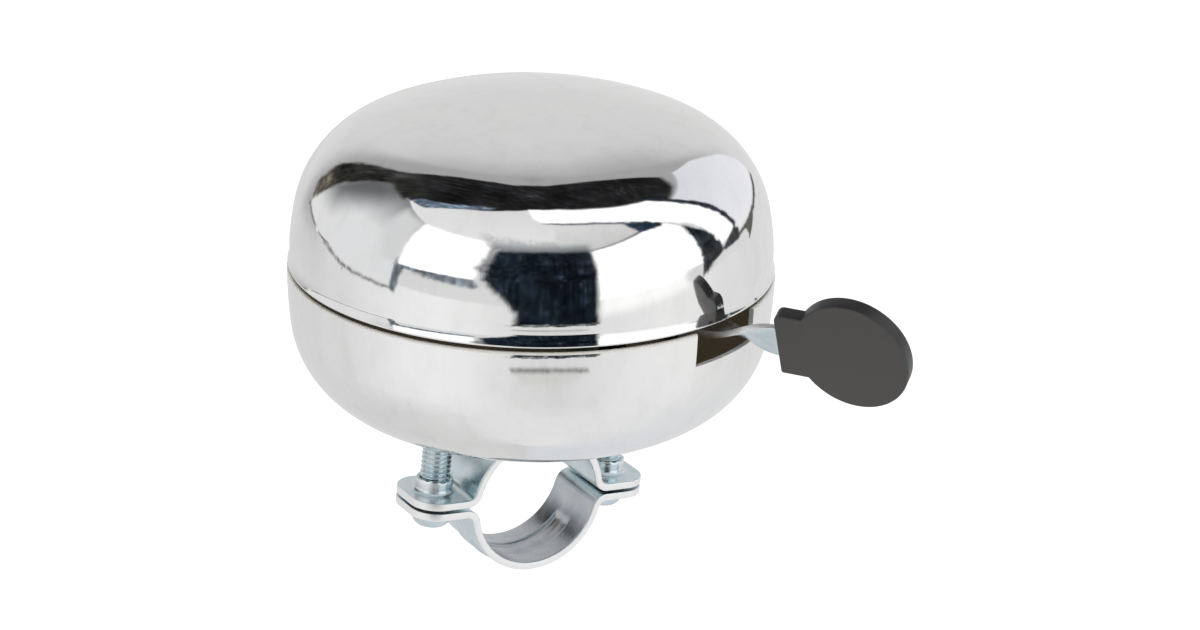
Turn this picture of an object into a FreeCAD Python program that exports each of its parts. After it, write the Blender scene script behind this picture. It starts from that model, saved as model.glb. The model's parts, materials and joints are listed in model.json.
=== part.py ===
import FreeCAD, Part
import math
import os

import Sketcher
from FreeCAD import Placement, Rotation, Vector

# A bicycle bell: a handlebar clamp, two gongs on a centre post, and a thumb lever geared to a
# striker with two hammers. Millimetres and degrees. The bar's axis is the y axis and z points up.
# The post is parallel to z, beside the bar's axis at x = bell_offset. Bell pieces are drawn
# about the post's own axis and moved there at the end. Azimuths turn from +x toward +y.

os.makedirs("parts", exist_ok=True)
doc = FreeCAD.newDocument("bicycle_bell")

# ---------------------------------------------------------------- driving sizes
SIZES = {
    # handlebar clamp, turned about the bar by clamp_tilt
    "bar_radius": 11.1, "strip_thickness": 1.3, "strip_width": 13.0,
    "ear_gap": 0.5, "ear_reach": 21.8, "ear_corner": 4.3, "screw_x": 16.6,
    "saddle_bend": 1.4, "strap_bend": 1.3,
    "collar_radius": 3.05, "collar_rise": 2.3, "collar_bore": 2.57, "strap_hole": 2.75,
    "bead_half": 2.0, "bead_depth": 0.35, "bead_arc": 112.0,
    "clamp_tilt": 4.8, "bell_offset": 1.2,
    # clamp screws
    "screw_radius": 2.5, "screw_length": 13.4, "head_radius": 3.7, "head_height": 3.1,
    "seat_gap": 0.03, "recess_width": 1.0, "recess_span": 4.0, "recess_depth": 1.3,
    # gongs: outer radii, arc radii, and heights above or below the seam
    "seam": 40.6, "wall": 1.0, "rim_gap_half": 0.44,
    "upper_rim": 39.69, "upper_lip": 0.45, "upper_wall_arc": 48.26,
    "upper_wall_end_radius": 38.728, "upper_wall_end_rise": 10.102, "upper_shoulder_arc": 18.576,
    "upper_crown_radius": 27.428, "upper_crown_rise": 23.651, "upper_crown_arc": 73.79,
    "upper_top": 28.936,
    "lower_rim": 40.0, "lower_wall_arc": 81.75,
    "lower_wall_end_radius": 39.466, "lower_wall_end_drop": 9.828, "lower_shoulder_arc": 16.719,
    "lower_floor_radius": 25.883, "lower_floor_drop": 24.363, "lower_floor_arc": 142.99,
    "lower_land": 9.0, "lower_bottom": 26.72, "gong_hole": 3.2,
    "notch_depth": 6.1, "notch_half": 7.46, "notch_azimuth": -68.2,
    # centre stack
    "post_radius": 3.0, "post_top": 66.8, "bore_fit": 0.05,
    "swage_radius": 3.8, "swage_bottom": 11.12, "swage_edge": 11.2, "swage_top": 11.65,
    "washer_radius": 8.0, "inner_washer": 1.0, "nut_flats": 10.0, "base_nut": 5.0,
    "sleeve_radius": 4.5,
    "plate_bottom": 31.2, "plate_thickness": 1.2, "plate_hub": 11.0,
    "striker_lobe": 5.6, "pin_lobe": 3.6, "anchor_lobe": 2.6,
    "bush_flange": 6.0, "bush_hub": 4.0, "lever_gap": 0.1,
    "lever_washer": 0.8, "lever_washer_radius": 7.0, "lever_nut": 3.0,
    "top_washer": 1.0, "boss_bottom": 61.0, "boss_radius": 6.0, "boss_flange": 9.0,
    # thumb lever and its oval pad; press is the angle the lever turns when pushed
    "lever_bottom": 36.2, "lever_thickness": 1.2, "lever_azimuth": -54.4,
    "lever_offset": -5.1, "lever_half": 3.0, "lever_hub": 8.2,
    "twist_start": 34.8, "twist_end": 45.4, "twist": -64.3, "tongue_end": 56.0, "press": 12.0,
    "pad_along": 57.8, "pad_across": -4.75, "pad_half_length": 9.45, "pad_half_width": 10.95,
    "pad_thickness": 2.5, "neck_reach": 12.3, "neck_half": 6.4, "pad_chamfer": 0.4,
    # gearing between lever and striker
    "module": 0.8, "sector_teeth": 40, "pinion_teeth": 10, "pressure": 25.0,
    "addendum": 0.64, "dedendum": 0.88, "backlash": 0.16, "striker_side": 175.0,
    # striker
    "spindle_radius": 1.5, "spindle_neck": 1.1, "spindle_fit": 0.06,
    "hub_radius": 3.0, "hub_bottom": 32.75, "hub_top": 44.2,
    "pinion_bottom": 35.4, "pinion_top": 38.2,
    "arm_thickness": 0.6, "arm_half": 2.6, "arm_ring": 4.6, "arm_reach": 13.6,
    "lower_arm_bottom": 33.7, "upper_arm_bottom": 42.4, "arm_swing": 48.0,
    "hammer_radius": 4.0, "hammer_height": 5.2, "rivet_shank": 1.0, "clip_radius": 3.0,
    # stops and return spring, placed along and across the lever
    "stop_along": 24.0, "stop_radius": 2.2, "stop_pin": 1.2, "stop_clear": 0.06,
    "anchor_along": -11.6, "anchor_across": -5.6, "anchor_shank": 1.0,
    "catch_along": 12.6, "catch_shift": 0.4, "spring_pin": 0.8,
    "wire_radius": 0.4, "coil_radius": 7.2, "coil_turns": 3.0, "coil_pitch": 0.88,
}
sheet = doc.addObject("Spreadsheet::Sheet", "Sizes")
for row, (alias, number) in enumerate(SIZES.items(), 1):
    sheet.set("A%d" % row, alias)
    sheet.set("B%d" % row, repr(number))
    sheet.setAlias("B%d" % row, alias)
doc.recompute()


# ---------------------------------------------------------------- numbers bound to the sheet
class Quantity:
    """A number that also keeps the sheet expression it came from."""

    def __init__(self, value, text=None):
        self.value = float(value)
        self.text = text if text is not None else repr(self.value)

    @staticmethod
    def of(number):
        return number if isinstance(number, Quantity) else Quantity(number)

    def __add__(self, other):
        other = Quantity.of(other)
        return Quantity(self.value + other.value, "(%s + %s)" % (self.text, other.text))

    def __sub__(self, other):
        other = Quantity.of(other)
        return Quantity(self.value - other.value, "(%s - %s)" % (self.text, other.text))

    def __mul__(self, other):
        other = Quantity.of(other)
        return Quantity(self.value * other.value, "(%s * %s)" % (self.text, other.text))

    def __truediv__(self, other):
        other = Quantity.of(other)
        return Quantity(self.value / other.value, "(%s / %s)" % (self.text, other.text))

    def __radd__(self, other):
        return Quantity.of(other) + self

    def __rsub__(self, other):
        return Quantity.of(other) - self

    def __rmul__(self, other):
        return Quantity.of(other) * self

    def __neg__(self):
        return Quantity(-self.value, "(0 - %s)" % self.text)


class BoundSizes:
    """Gives each driving size, as a Quantity, under its alias."""

    def __getattr__(self, alias):
        return Quantity(SIZES[alias], "Sizes." + alias)


size = BoundSizes()


def root(amount):
    return Quantity(math.sqrt(amount.value), "sqrt(%s)" % amount.text)


def cosine(angle):
    return Quantity(math.cos(math.radians(angle.value)), "cos(%s * 1deg)" % angle.text)


def sine(angle):
    return Quantity(math.sin(math.radians(angle.value)), "sin(%s * 1deg)" % angle.text)


def polar(radius, angle):
    return cosine(angle) * radius, sine(angle) * radius


def rotate(x, y, angle):
    """The point (x, y) turned about the origin."""
    c, s = cosine(angle), sine(angle)
    return c * x - s * y, s * x + c * y


# ---------------------------------------------------------------- bodies and sketches
PARTS = []
LEFT, RIGHT = 1, -1    # the way an arc turns as its outline is followed


def body(name):
    item = doc.addObject("PartDesign::Body", name)
    item.Label = name
    PARTS.append(item)
    return item


def sketch(owner, plane, name, offset=None):
    """A sketch on a main plane of the body, or lifted off it by offset."""
    sk = owner.newObject("Sketcher::SketchObject", name)
    support = [part for part in owner.Origin.OriginFeatures if part.Role == plane][0]
    sk.AttachmentSupport = (support, "")
    sk.MapMode = "FlatFace"
    if offset is not None:
        offset = Quantity.of(offset)
        sk.AttachmentOffset = Placement(Vector(0, 0, offset.value), Rotation())
        sk.setExpression("AttachmentOffset.Base.z", offset.text)
    return sk


def dimension(sk, amount, kind, *where):
    """A constraint whose value follows the sheet."""
    index = sk.addConstraint(Sketcher.Constraint(kind, *where, amount.value))
    sk.setExpression("Constraints[%d]" % index, amount.text)


def pin(sk, geo, pos, x, y):
    """Fix a point of the sketch at (x, y)."""
    for kind, amount, axis in (("DistanceX", Quantity.of(x), -2), ("DistanceY", Quantity.of(y), -1)):
        if abs(amount.value) < 1e-9:
            sk.addConstraint(Sketcher.Constraint("PointOnObject", geo, pos, axis))
        elif amount.value > 0:
            dimension(sk, amount, kind, -1, 1, geo, pos)
        else:
            dimension(sk, -amount, kind, geo, pos, -1, 1)


def arc_between(start, end, radius, side):
    """The shorter arc from start to end."""
    dx, dy = end[0] - start[0], end[1] - start[1]
    chord = math.hypot(dx, dy)
    rise = math.sqrt(max(radius**2 - chord**2 / 4, 0.0))
    centre = ((start[0] + end[0]) / 2 - dy / chord * side * rise,
              (start[1] + end[1]) / 2 + dx / chord * side * rise)
    angles = [math.atan2(p[1] - centre[1], p[0] - centre[0]) for p in (start, end)]
    first, last = angles if side == LEFT else angles[::-1]
    if last < first:
        last += 2 * math.pi
    return Part.ArcOfCircle(Part.Circle(Vector(*centre, 0), Vector(0, 0, 1), radius), first, last)


def chain(sk, points):
    """A closed outline. A point is (x, y) for a straight run to it, or (x, y, radius, side) for
    an arc to it. A fifth item, "polar", marks an arc centred on the vertical axis."""
    values = [(Quantity.of(p[0]).value, Quantity.of(p[1]).value) for p in points]
    runs = []
    for i, point in enumerate(points):
        start, end = values[i - 1], values[i]
        if len(point) == 2:
            geo = sk.addGeometry(Part.LineSegment(Vector(*start, 0), Vector(*end, 0)))
            runs.append((geo, 1, 2))
        else:
            radius, side = Quantity.of(point[2]).value, point[3]
            geo = sk.addGeometry(arc_between(start, end, radius, side))
            # arcs run anticlockwise, so one that turns right is followed from its end
            runs.append((geo, 1, 2) if side == LEFT else (geo, 2, 1))
    for i, point in enumerate(points):
        geo, _, end = runs[i]
        following = (i + 1) % len(points)
        next_geo, next_start, _ = runs[following]
        sk.addConstraint(Sketcher.Constraint("Coincident", geo, end, next_geo, next_start))
        # the centre on the axis and the radius already set the height of a polar arc's pole
        beside_polar = len(point) == 5 or len(points[following]) == 5
        if beside_polar and abs(values[i][0]) < 1e-9:
            sk.addConstraint(Sketcher.Constraint("PointOnObject", geo, end, -2))
        else:
            pin(sk, geo, end, point[0], point[1])
        if len(point) == 5:
            sk.addConstraint(Sketcher.Constraint("PointOnObject", geo, 3, -2))
        if len(point) > 2:
            dimension(sk, Quantity.of(point[2]), "Radius", geo)
    return sk


def rectangle(sk, x0, x1, y0, y1):
    return chain(sk, [(x0, y0), (x1, y0), (x1, y1), (x0, y1)])


def ring(sk, x, y, radius):
    """A circle."""
    x, y, radius = Quantity.of(x), Quantity.of(y), Quantity.of(radius)
    centre = Vector(x.value, y.value, 0)
    geo = sk.addGeometry(Part.Circle(centre, Vector(0, 0, 1), radius.value))
    if centre.Length < 1e-9:
        sk.addConstraint(Sketcher.Constraint("Coincident", geo, 3, -1, 1))
    else:
        pin(sk, geo, 3, x, y)
    dimension(sk, radius, "Radius", geo)
    return sk


def blocked(sk, geos):
    """Join the runs end to end in a loop and hold them where they are."""
    for geo, following in zip(geos, geos[1:] + geos[:1]):
        sk.addConstraint(Sketcher.Constraint("Coincident", geo, 2, following, 1))
    for geo in geos:
        sk.addConstraint(Sketcher.Constraint("Block", geo))
    return sk


def polygon(sk, points):
    """A closed outline of fixed straight runs through computed points."""
    corners = [Vector(*p, 0) for p in points]
    return blocked(sk, [sk.addGeometry(Part.LineSegment(a, b))
                        for a, b in zip(corners, corners[1:] + corners[:1])])


# ---------------------------------------------------------------- features
def extrude(kind, owner, sk, length, name, both, reverse):
    item = owner.newObject("PartDesign::" + kind, name)
    item.Profile = (sk, [""])
    length = Quantity.of(length)
    item.Length = length.value
    item.setExpression("Length", length.text)
    if both:
        item.SideType = "Symmetric"
    if reverse:
        item.Reversed = True


def pad(owner, sk, length, name, both=False):
    extrude("Pad", owner, sk, length, name, both, reverse=False)


def pocket(owner, sk, length, name, way="forward"):
    """A cut along the sketch's normal (forward), against it (backward) or both ways."""
    extrude("Pocket", owner, sk, length, name, way == "both", reverse=way == "forward")


def turn(owner, sk, name, kind="Revolution", axis="V_Axis", angle=None):
    """A full turn about an axis of the sketch, or one of the given angle centred on it."""
    item = owner.newObject("PartDesign::" + kind, name)
    item.Profile = (sk, [""])
    item.ReferenceAxis = (sk, [axis])
    item.Angle = 360.0
    if angle is not None:
        item.Midplane = True
        item.Angle = angle.value
        item.setExpression("Angle", angle.text)


def place(item, spot, angle=None):
    x, y = spot
    spin = Rotation(Vector(0, 0, 1), angle.value) if angle is not None else Rotation()
    item.Placement = Placement(Vector(x.value, y.value, 0), spin)
    item.setExpression("Placement.Base.x", x.text)
    item.setExpression("Placement.Base.y", y.text)


def turned(name, points, spot=None):
    """A turned piece from its half section (radius, height)."""
    item = body(name)
    turn(item, chain(sketch(item, "XZ_Plane", name + "_section"), points), name + "_turn")
    if spot is not None:
        place(item, spot)
    return item


def tube(name, inner, outer, bottom, top, spot=None, edge=0.15):
    """A washer or sleeve with its outer edges chamfered."""
    return turned(name, [
        (inner, bottom), (outer - edge, bottom), (outer, bottom + edge),
        (outer, top - edge), (outer - edge, top), (inner, top)], spot)


# ---------------------------------------------------------------- handlebar clamp
band_radius = size.bar_radius + size.strip_thickness
ear_inner = size.ear_gap / 2
ear_outer = ear_inner + size.strip_thickness
BORE_START, BORE_LENGTH = 5, 14    # cuts that run right through the ears


def band(name, bend, side):
    """A half band: an arc over (side 1) or under (side -1) the bar, bent into two flat ears."""
    item = body(name)
    centre_reach = band_radius + bend      # bar axis to the centre of each ear's bend
    centre_z = ear_outer + bend
    centre_x = root(centre_reach * centre_reach - centre_z * centre_z)
    outer_scale = band_radius / centre_reach
    outer_x, outer_z = centre_x * outer_scale, centre_z * outer_scale
    inner_scale = size.bar_radius / centre_reach
    inner_x, inner_z = centre_x * inner_scale, centre_z * inner_scale
    inner_bend = bend + size.strip_thickness
    reach, near, far = size.ear_reach, side * ear_inner, side * ear_outer
    # from the right ear over the outside to the left ear, then back along the inside
    sk = chain(sketch(item, "XZ_Plane", name + "_outline"), [
        (reach, near), (reach, far), (centre_x, far),
        (outer_x, side * outer_z, bend, RIGHT * side),
        (-outer_x, side * outer_z, band_radius, LEFT * side),
        (-centre_x, far, bend, RIGHT * side),
        (-reach, far), (-reach, near), (-centre_x, near),
        (-inner_x, side * inner_z, inner_bend, LEFT * side),
        (inner_x, side * inner_z, size.bar_radius, RIGHT * side),
        (centre_x, near, inner_bend, LEFT * side)])
    pad(item, sk, size.strip_width, name + "_band", both=True)
    round_ears(item, name)
    return item


def round_ears(item, name):
    """Round the four upright edges at the ear tips."""
    doc.recompute()
    tip = item.Tip
    names = []
    for i, edge in enumerate(tip.Shape.Edges, 1):
        start, end = edge.Vertexes[0].Point, edge.Vertexes[-1].Point
        run = start - end
        upright = run.cross(Vector(0, 0, 1)).Length < 1e-6 and run.Length > 0.1
        if upright and abs(abs(start.x) - SIZES["ear_reach"]) < 1e-6:
            names.append("Edge%d" % i)
    fillet = item.newObject("PartDesign::Fillet", name + "_corners")
    fillet.Base = (tip, names)
    fillet.Radius = SIZES["ear_corner"]
    fillet.setExpression("Radius", "Sizes.ear_corner")


def screw_holes(item, name, start, radius, way):
    sk = sketch(item, "XY_Plane", name, start)
    ring(sk, size.screw_x, 0, radius)
    ring(sk, -size.screw_x, 0, radius)
    pocket(item, sk, BORE_LENGTH, name + "_cut", way)


def build_saddle():
    """The upper half band, with a collar on each ear and a seat for the post's foot."""
    saddle = band("clamp_saddle", size.saddle_bend, 1)
    sunk = 0.2
    for label, side in (("left", -1), ("right", 1)):
        sk = sketch(saddle, "XY_Plane", "collar_" + label, ear_outer - sunk)
        ring(sk, side * size.screw_x, 0, size.collar_radius)
        pad(saddle, sk, size.collar_rise + sunk, "collar_%s_pad" % label)
    screw_holes(saddle, "saddle_bores", -BORE_START, size.collar_bore, "forward")
    # the seat follows the post's axis, which leans and sits off centre as seen from the clamp
    below, above = 9.0, 14.0
    sk = sketch(saddle, "XZ_Plane", "swage_seat")
    x, y = polar(size.bell_offset, size.clamp_tilt)
    sk.AttachmentOffset = Placement(Vector(x.value, y.value, 0),
                                    Rotation(Vector(0, 0, 1), SIZES["clamp_tilt"]))
    sk.setExpression("AttachmentOffset.Base.x", x.text)
    sk.setExpression("AttachmentOffset.Base.y", y.text)
    sk.setExpression("AttachmentOffset.Rotation.Angle", "Sizes.clamp_tilt")
    chain(sk, [(0, below), (size.swage_radius, below), (size.swage_radius, size.swage_edge),
               (size.post_radius, size.swage_top), (size.post_radius, above), (0, above)])
    turn(saddle, sk, "swage_seat_cut", "Groove")


def build_strap():
    """The lower half band, with a bead pressed outward round its underside."""
    strap = band("clamp_strap", size.strap_bend, -1)
    screw_holes(strap, "strap_holes", BORE_START, size.strap_hole, "backward")
    half, deep, angle = size.bead_half, size.bead_depth, size.bead_arc
    foot, taper, sunk = half + 0.35, 0.1, 0.2
    sk = chain(sketch(strap, "YZ_Plane", "bead_rib"), [
        (-foot, -band_radius + sunk), (foot, -band_radius + sunk), (foot, -band_radius),
        (half - taper, -band_radius - deep), (-half + taper, -band_radius - deep),
        (-foot, -band_radius)])
    turn(strap, sk, "bead_rib_turn", axis="H_Axis", angle=angle)
    bar, taper, clear = size.bar_radius, 0.45, 0.3
    sk = chain(sketch(strap, "YZ_Plane", "bead_groove"), [
        (-half, -bar + clear), (half, -bar + clear), (half, -bar),
        (half - taper, -bar - deep), (-half + taper, -bar - deep), (-half, -bar)])
    turn(strap, sk, "bead_groove_turn", "Groove", axis="H_Axis", angle=angle)


def build_clamp_screw(name):
    """A screw pointing up, with a domed head and a cross recess under the ears."""
    item = body(name)
    seat = -ear_outer - size.seat_gap
    head, shank = size.head_radius, size.screw_radius
    head_end, tip, tip_chamfer = seat - size.head_height, seat + size.screw_length, 0.6
    sk = chain(sketch(item, "XZ_Plane", name + "_section"), [
        (0, head_end), (1.6, head_end), (head - 0.35, seat - 1.0, 2.0, LEFT), (head, seat - 0.55),
        (head, seat - 0.3), (head - 0.4, seat), (shank, seat), (shank, tip - tip_chamfer),
        (shank - tip_chamfer, tip), (0, tip)])
    turn(item, sk, name + "_turn")
    span, slot = size.recess_span / 2, size.recess_width / 2
    sk = sketch(item, "XY_Plane", name + "_recess", head_end)
    chain(sk, [(span, -slot), (span, slot), (slot, slot), (slot, span), (-slot, span),
               (-slot, slot), (-span, slot), (-span, -slot), (-slot, -slot), (-slot, -span),
               (slot, -span), (slot, -slot)])
    pocket(item, sk, size.recess_depth, name + "_recess_cut")


# ---------------------------------------------------------------- gongs
seam, wall, rim_gap = size.seam, size.wall, size.rim_gap_half
crown_centre_z = seam + size.upper_top - size.upper_crown_arc
crown_inner_arc = size.upper_crown_arc - wall
gong_floor = seam - size.lower_bottom


def inset(point, centre, radius):
    """The point moved one wall thickness toward the centre of its arc."""
    return tuple(a + (c - a) * wall / radius for a, c in zip(point, centre))


def build_upper_gong():
    """Wall, shoulder and crown arcs, and the same arcs one wall thickness inside."""
    rim, rim_z = size.upper_rim, seam + rim_gap
    lip, lip_arc = size.upper_lip, size.upper_lip + 0.1
    wall_arc, crown_arc = size.upper_wall_arc, size.upper_crown_arc
    shoulder_arc = size.upper_shoulder_arc
    wall_end = (size.upper_wall_end_radius, seam + size.upper_wall_end_rise)
    crown_edge = (size.upper_crown_radius, seam + size.upper_crown_rise)
    inner_wall_end = inset(wall_end, (rim - wall_arc, seam + 0.5), wall_arc)
    inner_crown_edge = inset(crown_edge, (0, crown_centre_z), crown_arc)
    top = seam + size.upper_top
    turned("upper_gong", [
        (rim - wall + 0.1, rim_z + 0.06), (rim - lip_arc, rim_z),
        (rim, rim_z + lip, lip_arc, LEFT),
        (*wall_end, wall_arc, LEFT), (*crown_edge, shoulder_arc, LEFT),
        (0, top, crown_arc, LEFT, "polar"), (0, top - wall),
        (*inner_crown_edge, crown_inner_arc, RIGHT, "polar"),
        (*inner_wall_end, shoulder_arc - wall, RIGHT),
        (rim - wall, rim_z + lip, wall_arc - wall, RIGHT)])


def build_lower_gong():
    """Wall, shoulder and floor arcs, a flat land round the post, and the notch for the lever."""
    rim, rim_z = size.lower_rim, seam - rim_gap
    edge, inner_edge = 0.12, 0.1      # small chamfers on the rim
    wall_arc, shoulder_arc = size.lower_wall_arc, size.lower_shoulder_arc
    floor_arc = size.lower_floor_arc
    drawn_floor_arc = floor_arc - 20  # the drawn floor is rounder than the arc used to inset it
    wall_end = (size.lower_wall_end_radius, seam - size.lower_wall_end_drop)
    floor_edge = (size.lower_floor_radius, seam - size.lower_floor_drop)
    inner_wall_end = inset(wall_end, (rim - wall_arc, seam - 0.5), wall_arc)
    inner_floor_edge = inset(floor_edge, (0, gong_floor + floor_arc), floor_arc)
    gong = turned("lower_gong", [
        (size.gong_hole, gong_floor + wall), (size.gong_hole, gong_floor),
        (size.lower_land, gong_floor),
        (*floor_edge, drawn_floor_arc, LEFT), (*wall_end, shoulder_arc, LEFT),
        (rim, rim_z - edge, wall_arc, LEFT), (rim - edge, rim_z),
        (rim - wall + inner_edge, rim_z), (rim - wall, rim_z - inner_edge),
        (*inner_wall_end, wall_arc - wall, RIGHT),
        (*inner_floor_edge, shoulder_arc - wall, RIGHT),
        (size.lower_land, gong_floor + wall, drawn_floor_arc - wall, RIGHT)])
    inside, outside, half = 30, 46, size.notch_half
    notch = sketch(gong, "XY_Plane", "notch", seam - size.notch_depth)
    chain(notch, [rotate(along, across, size.notch_azimuth) for along, across in
                  [(inside, -half), (outside, -half), (outside, half), (inside, half)]])
    pocket(gong, notch, size.notch_depth + 4, "notch_cut")


# ---------------------------------------------------------------- centre stack, from the clamp up
post_bore = size.post_radius + size.bore_fit
inner_washer_z = gong_floor + wall
base_nut_z = inner_washer_z + size.inner_washer
sleeve_z = base_nut_z + size.base_nut
plate_z = size.plate_bottom
plate_top = plate_z + size.plate_thickness
lever_z, lever_thick = size.lever_bottom, size.lever_thickness
lever_top = lever_z + lever_thick
bushing_top = lever_top + size.lever_gap
lever_nut_z = bushing_top + size.lever_washer
upper_spacer_z = lever_nut_z + size.lever_nut
top_washer_z = size.boss_bottom - size.top_washer


def build_centre_post():
    """The post, with a swaged foot."""
    radius, foot, top, tip_chamfer = size.post_radius, size.swage_radius, size.post_top, 0.6
    turned("centre_post", [
        (0, size.swage_bottom), (foot, size.swage_bottom), (foot, size.swage_edge),
        (radius, size.swage_top), (radius, top - tip_chamfer), (radius - tip_chamfer, top),
        (0, top)])


def build_base_washer():
    """The washer under the lower gong, hollowed below to sit on the clamp band."""
    washer = tube("base_washer", post_bore, size.washer_radius, 10.0, gong_floor, edge=0.2)
    sk = sketch(washer, "XZ_Plane", "base_washer_hollow")
    ring(sk, -size.bell_offset, 0, band_radius + 0.01)
    pocket(washer, sk, 40, "base_washer_hollow_cut", way="both")


def build_nut(name, bottom, height):
    """A hexagon nut with its corners chamfered at both ends."""
    item = body(name)
    half = size.nut_flats / 2
    side = half / math.sqrt(3)
    sk = sketch(item, "XY_Plane", name + "_hex", bottom)
    chain(sk, [(half, -side), (half, side), (0, 2 * side),
               (-half, side), (-half, -side), (0, -2 * side)])
    ring(sk, 0, 0, post_bore)
    pad(item, sk, height, name + "_pad")
    reach, depth = 1.2, 0.7
    for end, level, inward in (("low", bottom, 1), ("high", bottom + height, -1)):
        cut = sketch(item, "XZ_Plane", name + "_" + end)
        chain(cut, [(half, level), (half + reach, level), (half + reach, level + depth * inward)])
        turn(item, cut, name + "_" + end + "_chamfer", "Groove")


def build_lever_bushing():
    flange_top = lever_z - size.lever_gap
    turned("lever_bushing", [
        (post_bore, plate_top), (size.bush_flange, plate_top), (size.bush_flange, flange_top),
        (size.bush_hub, flange_top), (size.bush_hub, bushing_top), (post_bore, bushing_top)])


def build_gong_boss():
    """The cap over the post's top, whose flange fits the inside of the crown."""
    bottom, radius, flange = size.boss_bottom, size.boss_radius, size.boss_flange
    bore_end, edge = size.post_top + 0.3, 0.3
    flange_edge = crown_centre_z + root(crown_inner_arc * crown_inner_arc - flange * flange)
    turned("gong_boss", [
        (0, bore_end), (post_bore, bore_end), (post_bore, bottom), (radius - edge, bottom),
        (radius, bottom + edge), (radius, size.post_top - 1.0),
        (flange - 0.5, size.post_top - 0.6), (flange, size.post_top - 0.1), (flange, flange_edge),
        (0, crown_centre_z + crown_inner_arc, crown_inner_arc, LEFT)])


# ---------------------------------------------------------------- lever frame
# In this frame x runs along the lever and y across it. A "_local" spot is (along, across).
lever_offset, lever_half = size.lever_offset, size.lever_half


def from_lever(spot):
    """A spot of the lever frame, seen in the bell's frame."""
    return rotate(*spot, size.lever_azimuth)


def along_lever(item):
    """Turn a body drawn in the lever frame to the lever's azimuth."""
    item.Placement = Placement(Vector(), Rotation(Vector(0, 0, 1), SIZES["lever_azimuth"]))
    item.setExpression("Placement.Rotation.Angle", "Sizes.lever_azimuth * 1deg")


gear_spacing = size.module * (size.sector_teeth + size.pinion_teeth) / 2
striker_local = polar(gear_spacing, size.striker_side)
striker_azimuth = size.lever_azimuth + size.striker_side
striker_spot = polar(gear_spacing, striker_azimuth)
stop_beside = lever_half + size.stop_clear + size.stop_radius
rest_local = (size.stop_along, lever_offset + stop_beside)
press_local = rotate(size.stop_along, lever_offset - stop_beside, -size.press)
anchor_local = (size.anchor_along, size.anchor_across)
catch_local = (size.catch_along, lever_offset + size.catch_shift)


def add_lobe(plate, name, spot, radius, root_half):
    """An arm of the plate from the hub to a spot, with a round end."""
    x, y = spot
    span = root(x * x + y * y)
    ux, uy = x / span, y / span
    start = 5
    outline = sketch(plate, "XY_Plane", name, plate_z)
    chain(outline, [
        (ux * start - uy * root_half, uy * start + ux * root_half),
        (ux * start + uy * root_half, uy * start - ux * root_half),
        (x + uy * radius, y - ux * radius), (x - uy * radius, y + ux * radius)])
    pad(plate, outline, size.plate_thickness, name + "_pad")
    end = ring(sketch(plate, "XY_Plane", name + "_end", plate_z), x, y, radius)
    pad(plate, end, size.plate_thickness, name + "_end_pad")


def build_mechanism_plate():
    plate = body("mechanism_plate")
    along_lever(plate)
    sk = ring(sketch(plate, "XY_Plane", "plate_hub", plate_z), 0, 0, size.plate_hub)
    pad(plate, sk, size.plate_thickness, "plate_hub_pad")
    add_lobe(plate, "striker_lobe", striker_local, size.striker_lobe, 7.5)
    add_lobe(plate, "rest_lobe", rest_local, size.pin_lobe, 6.0)
    add_lobe(plate, "press_lobe", press_local, size.pin_lobe, 6.0)
    add_lobe(plate, "anchor_lobe", anchor_local, size.anchor_lobe, 3.4)
    sk = sketch(plate, "XY_Plane", "plate_holes", plate_z - 1)
    ring(sk, 0, 0, post_bore)
    ring(sk, *striker_local, size.spindle_radius)
    ring(sk, *rest_local, size.stop_pin)
    ring(sk, *press_local, size.stop_pin)
    ring(sk, *anchor_local, size.anchor_shank)
    pocket(plate, sk, 4, "plate_holes_cut")


# ---------------------------------------------------------------- gear teeth
def tooth(teeth, middle):
    """One stub involute tooth about the angle middle, from its right root to its left root."""
    pitch = SIZES["module"] * teeth / 2
    base = pitch * math.cos(math.radians(SIZES["pressure"]))
    tip, foot = pitch + SIZES["addendum"], pitch - SIZES["dedendum"]
    pitch_half = (math.pi * SIZES["module"] / 2 - SIZES["backlash"] / 2) / 2 / pitch

    def involute(radius):
        angle = math.acos(min(1.0, base / radius))
        return math.tan(angle) - angle

    start, steps = max(base, foot), 5
    flank = []
    for k in range(steps + 1):
        radius = start + (tip - start) * k / steps
        flank.append((radius, pitch_half + involute(pitch) - involute(radius)))
    if foot < base:
        flank.insert(0, (foot, flank[0][1]))
    points = [(r, middle - half) for r, half in flank]
    points += [(r, middle + half) for r, half in reversed(flank)]
    return [(r * math.cos(a), r * math.sin(a)) for r, a in points]


def sector_outline():
    """The lever's toothed sector, closed round the lever's pivot."""
    teeth = SIZES["sector_teeth"]
    step = 2 * math.pi / teeth
    aim = math.radians(SIZES["striker_side"])
    points = []
    for k in range(-2, 5):
        points += tooth(teeth, aim + k * step)
    foot = SIZES["module"] * teeth / 2 - SIZES["dedendum"]
    waist, waist_turn, core = 7.0, 0.35, 5.0
    first, last = aim - 2.75 * step, aim + 4.75 * step

    def spot(radius, angle):
        return radius * math.cos(angle), radius * math.sin(angle)

    return points + [
        spot(foot, last), spot(waist, last + waist_turn), (0.0, -core), (core, 0.0), (0.0, core),
        spot(waist, first - waist_turn), spot(foot, first)]


# ---------------------------------------------------------------- thumb lever
lever_mid = lever_z + lever_thick / 2


def blade_section(sk, angle):
    """The lever's cross-section, turned about its middle by angle."""
    half = lever_thick / 2
    corners = [(-lever_half, -half), (lever_half, -half), (lever_half, half), (-lever_half, half)]
    turned_corners = [rotate(*corner, angle) for corner in corners]
    return chain(sk, [(lever_offset + y, lever_mid + z) for y, z in turned_corners])


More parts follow.
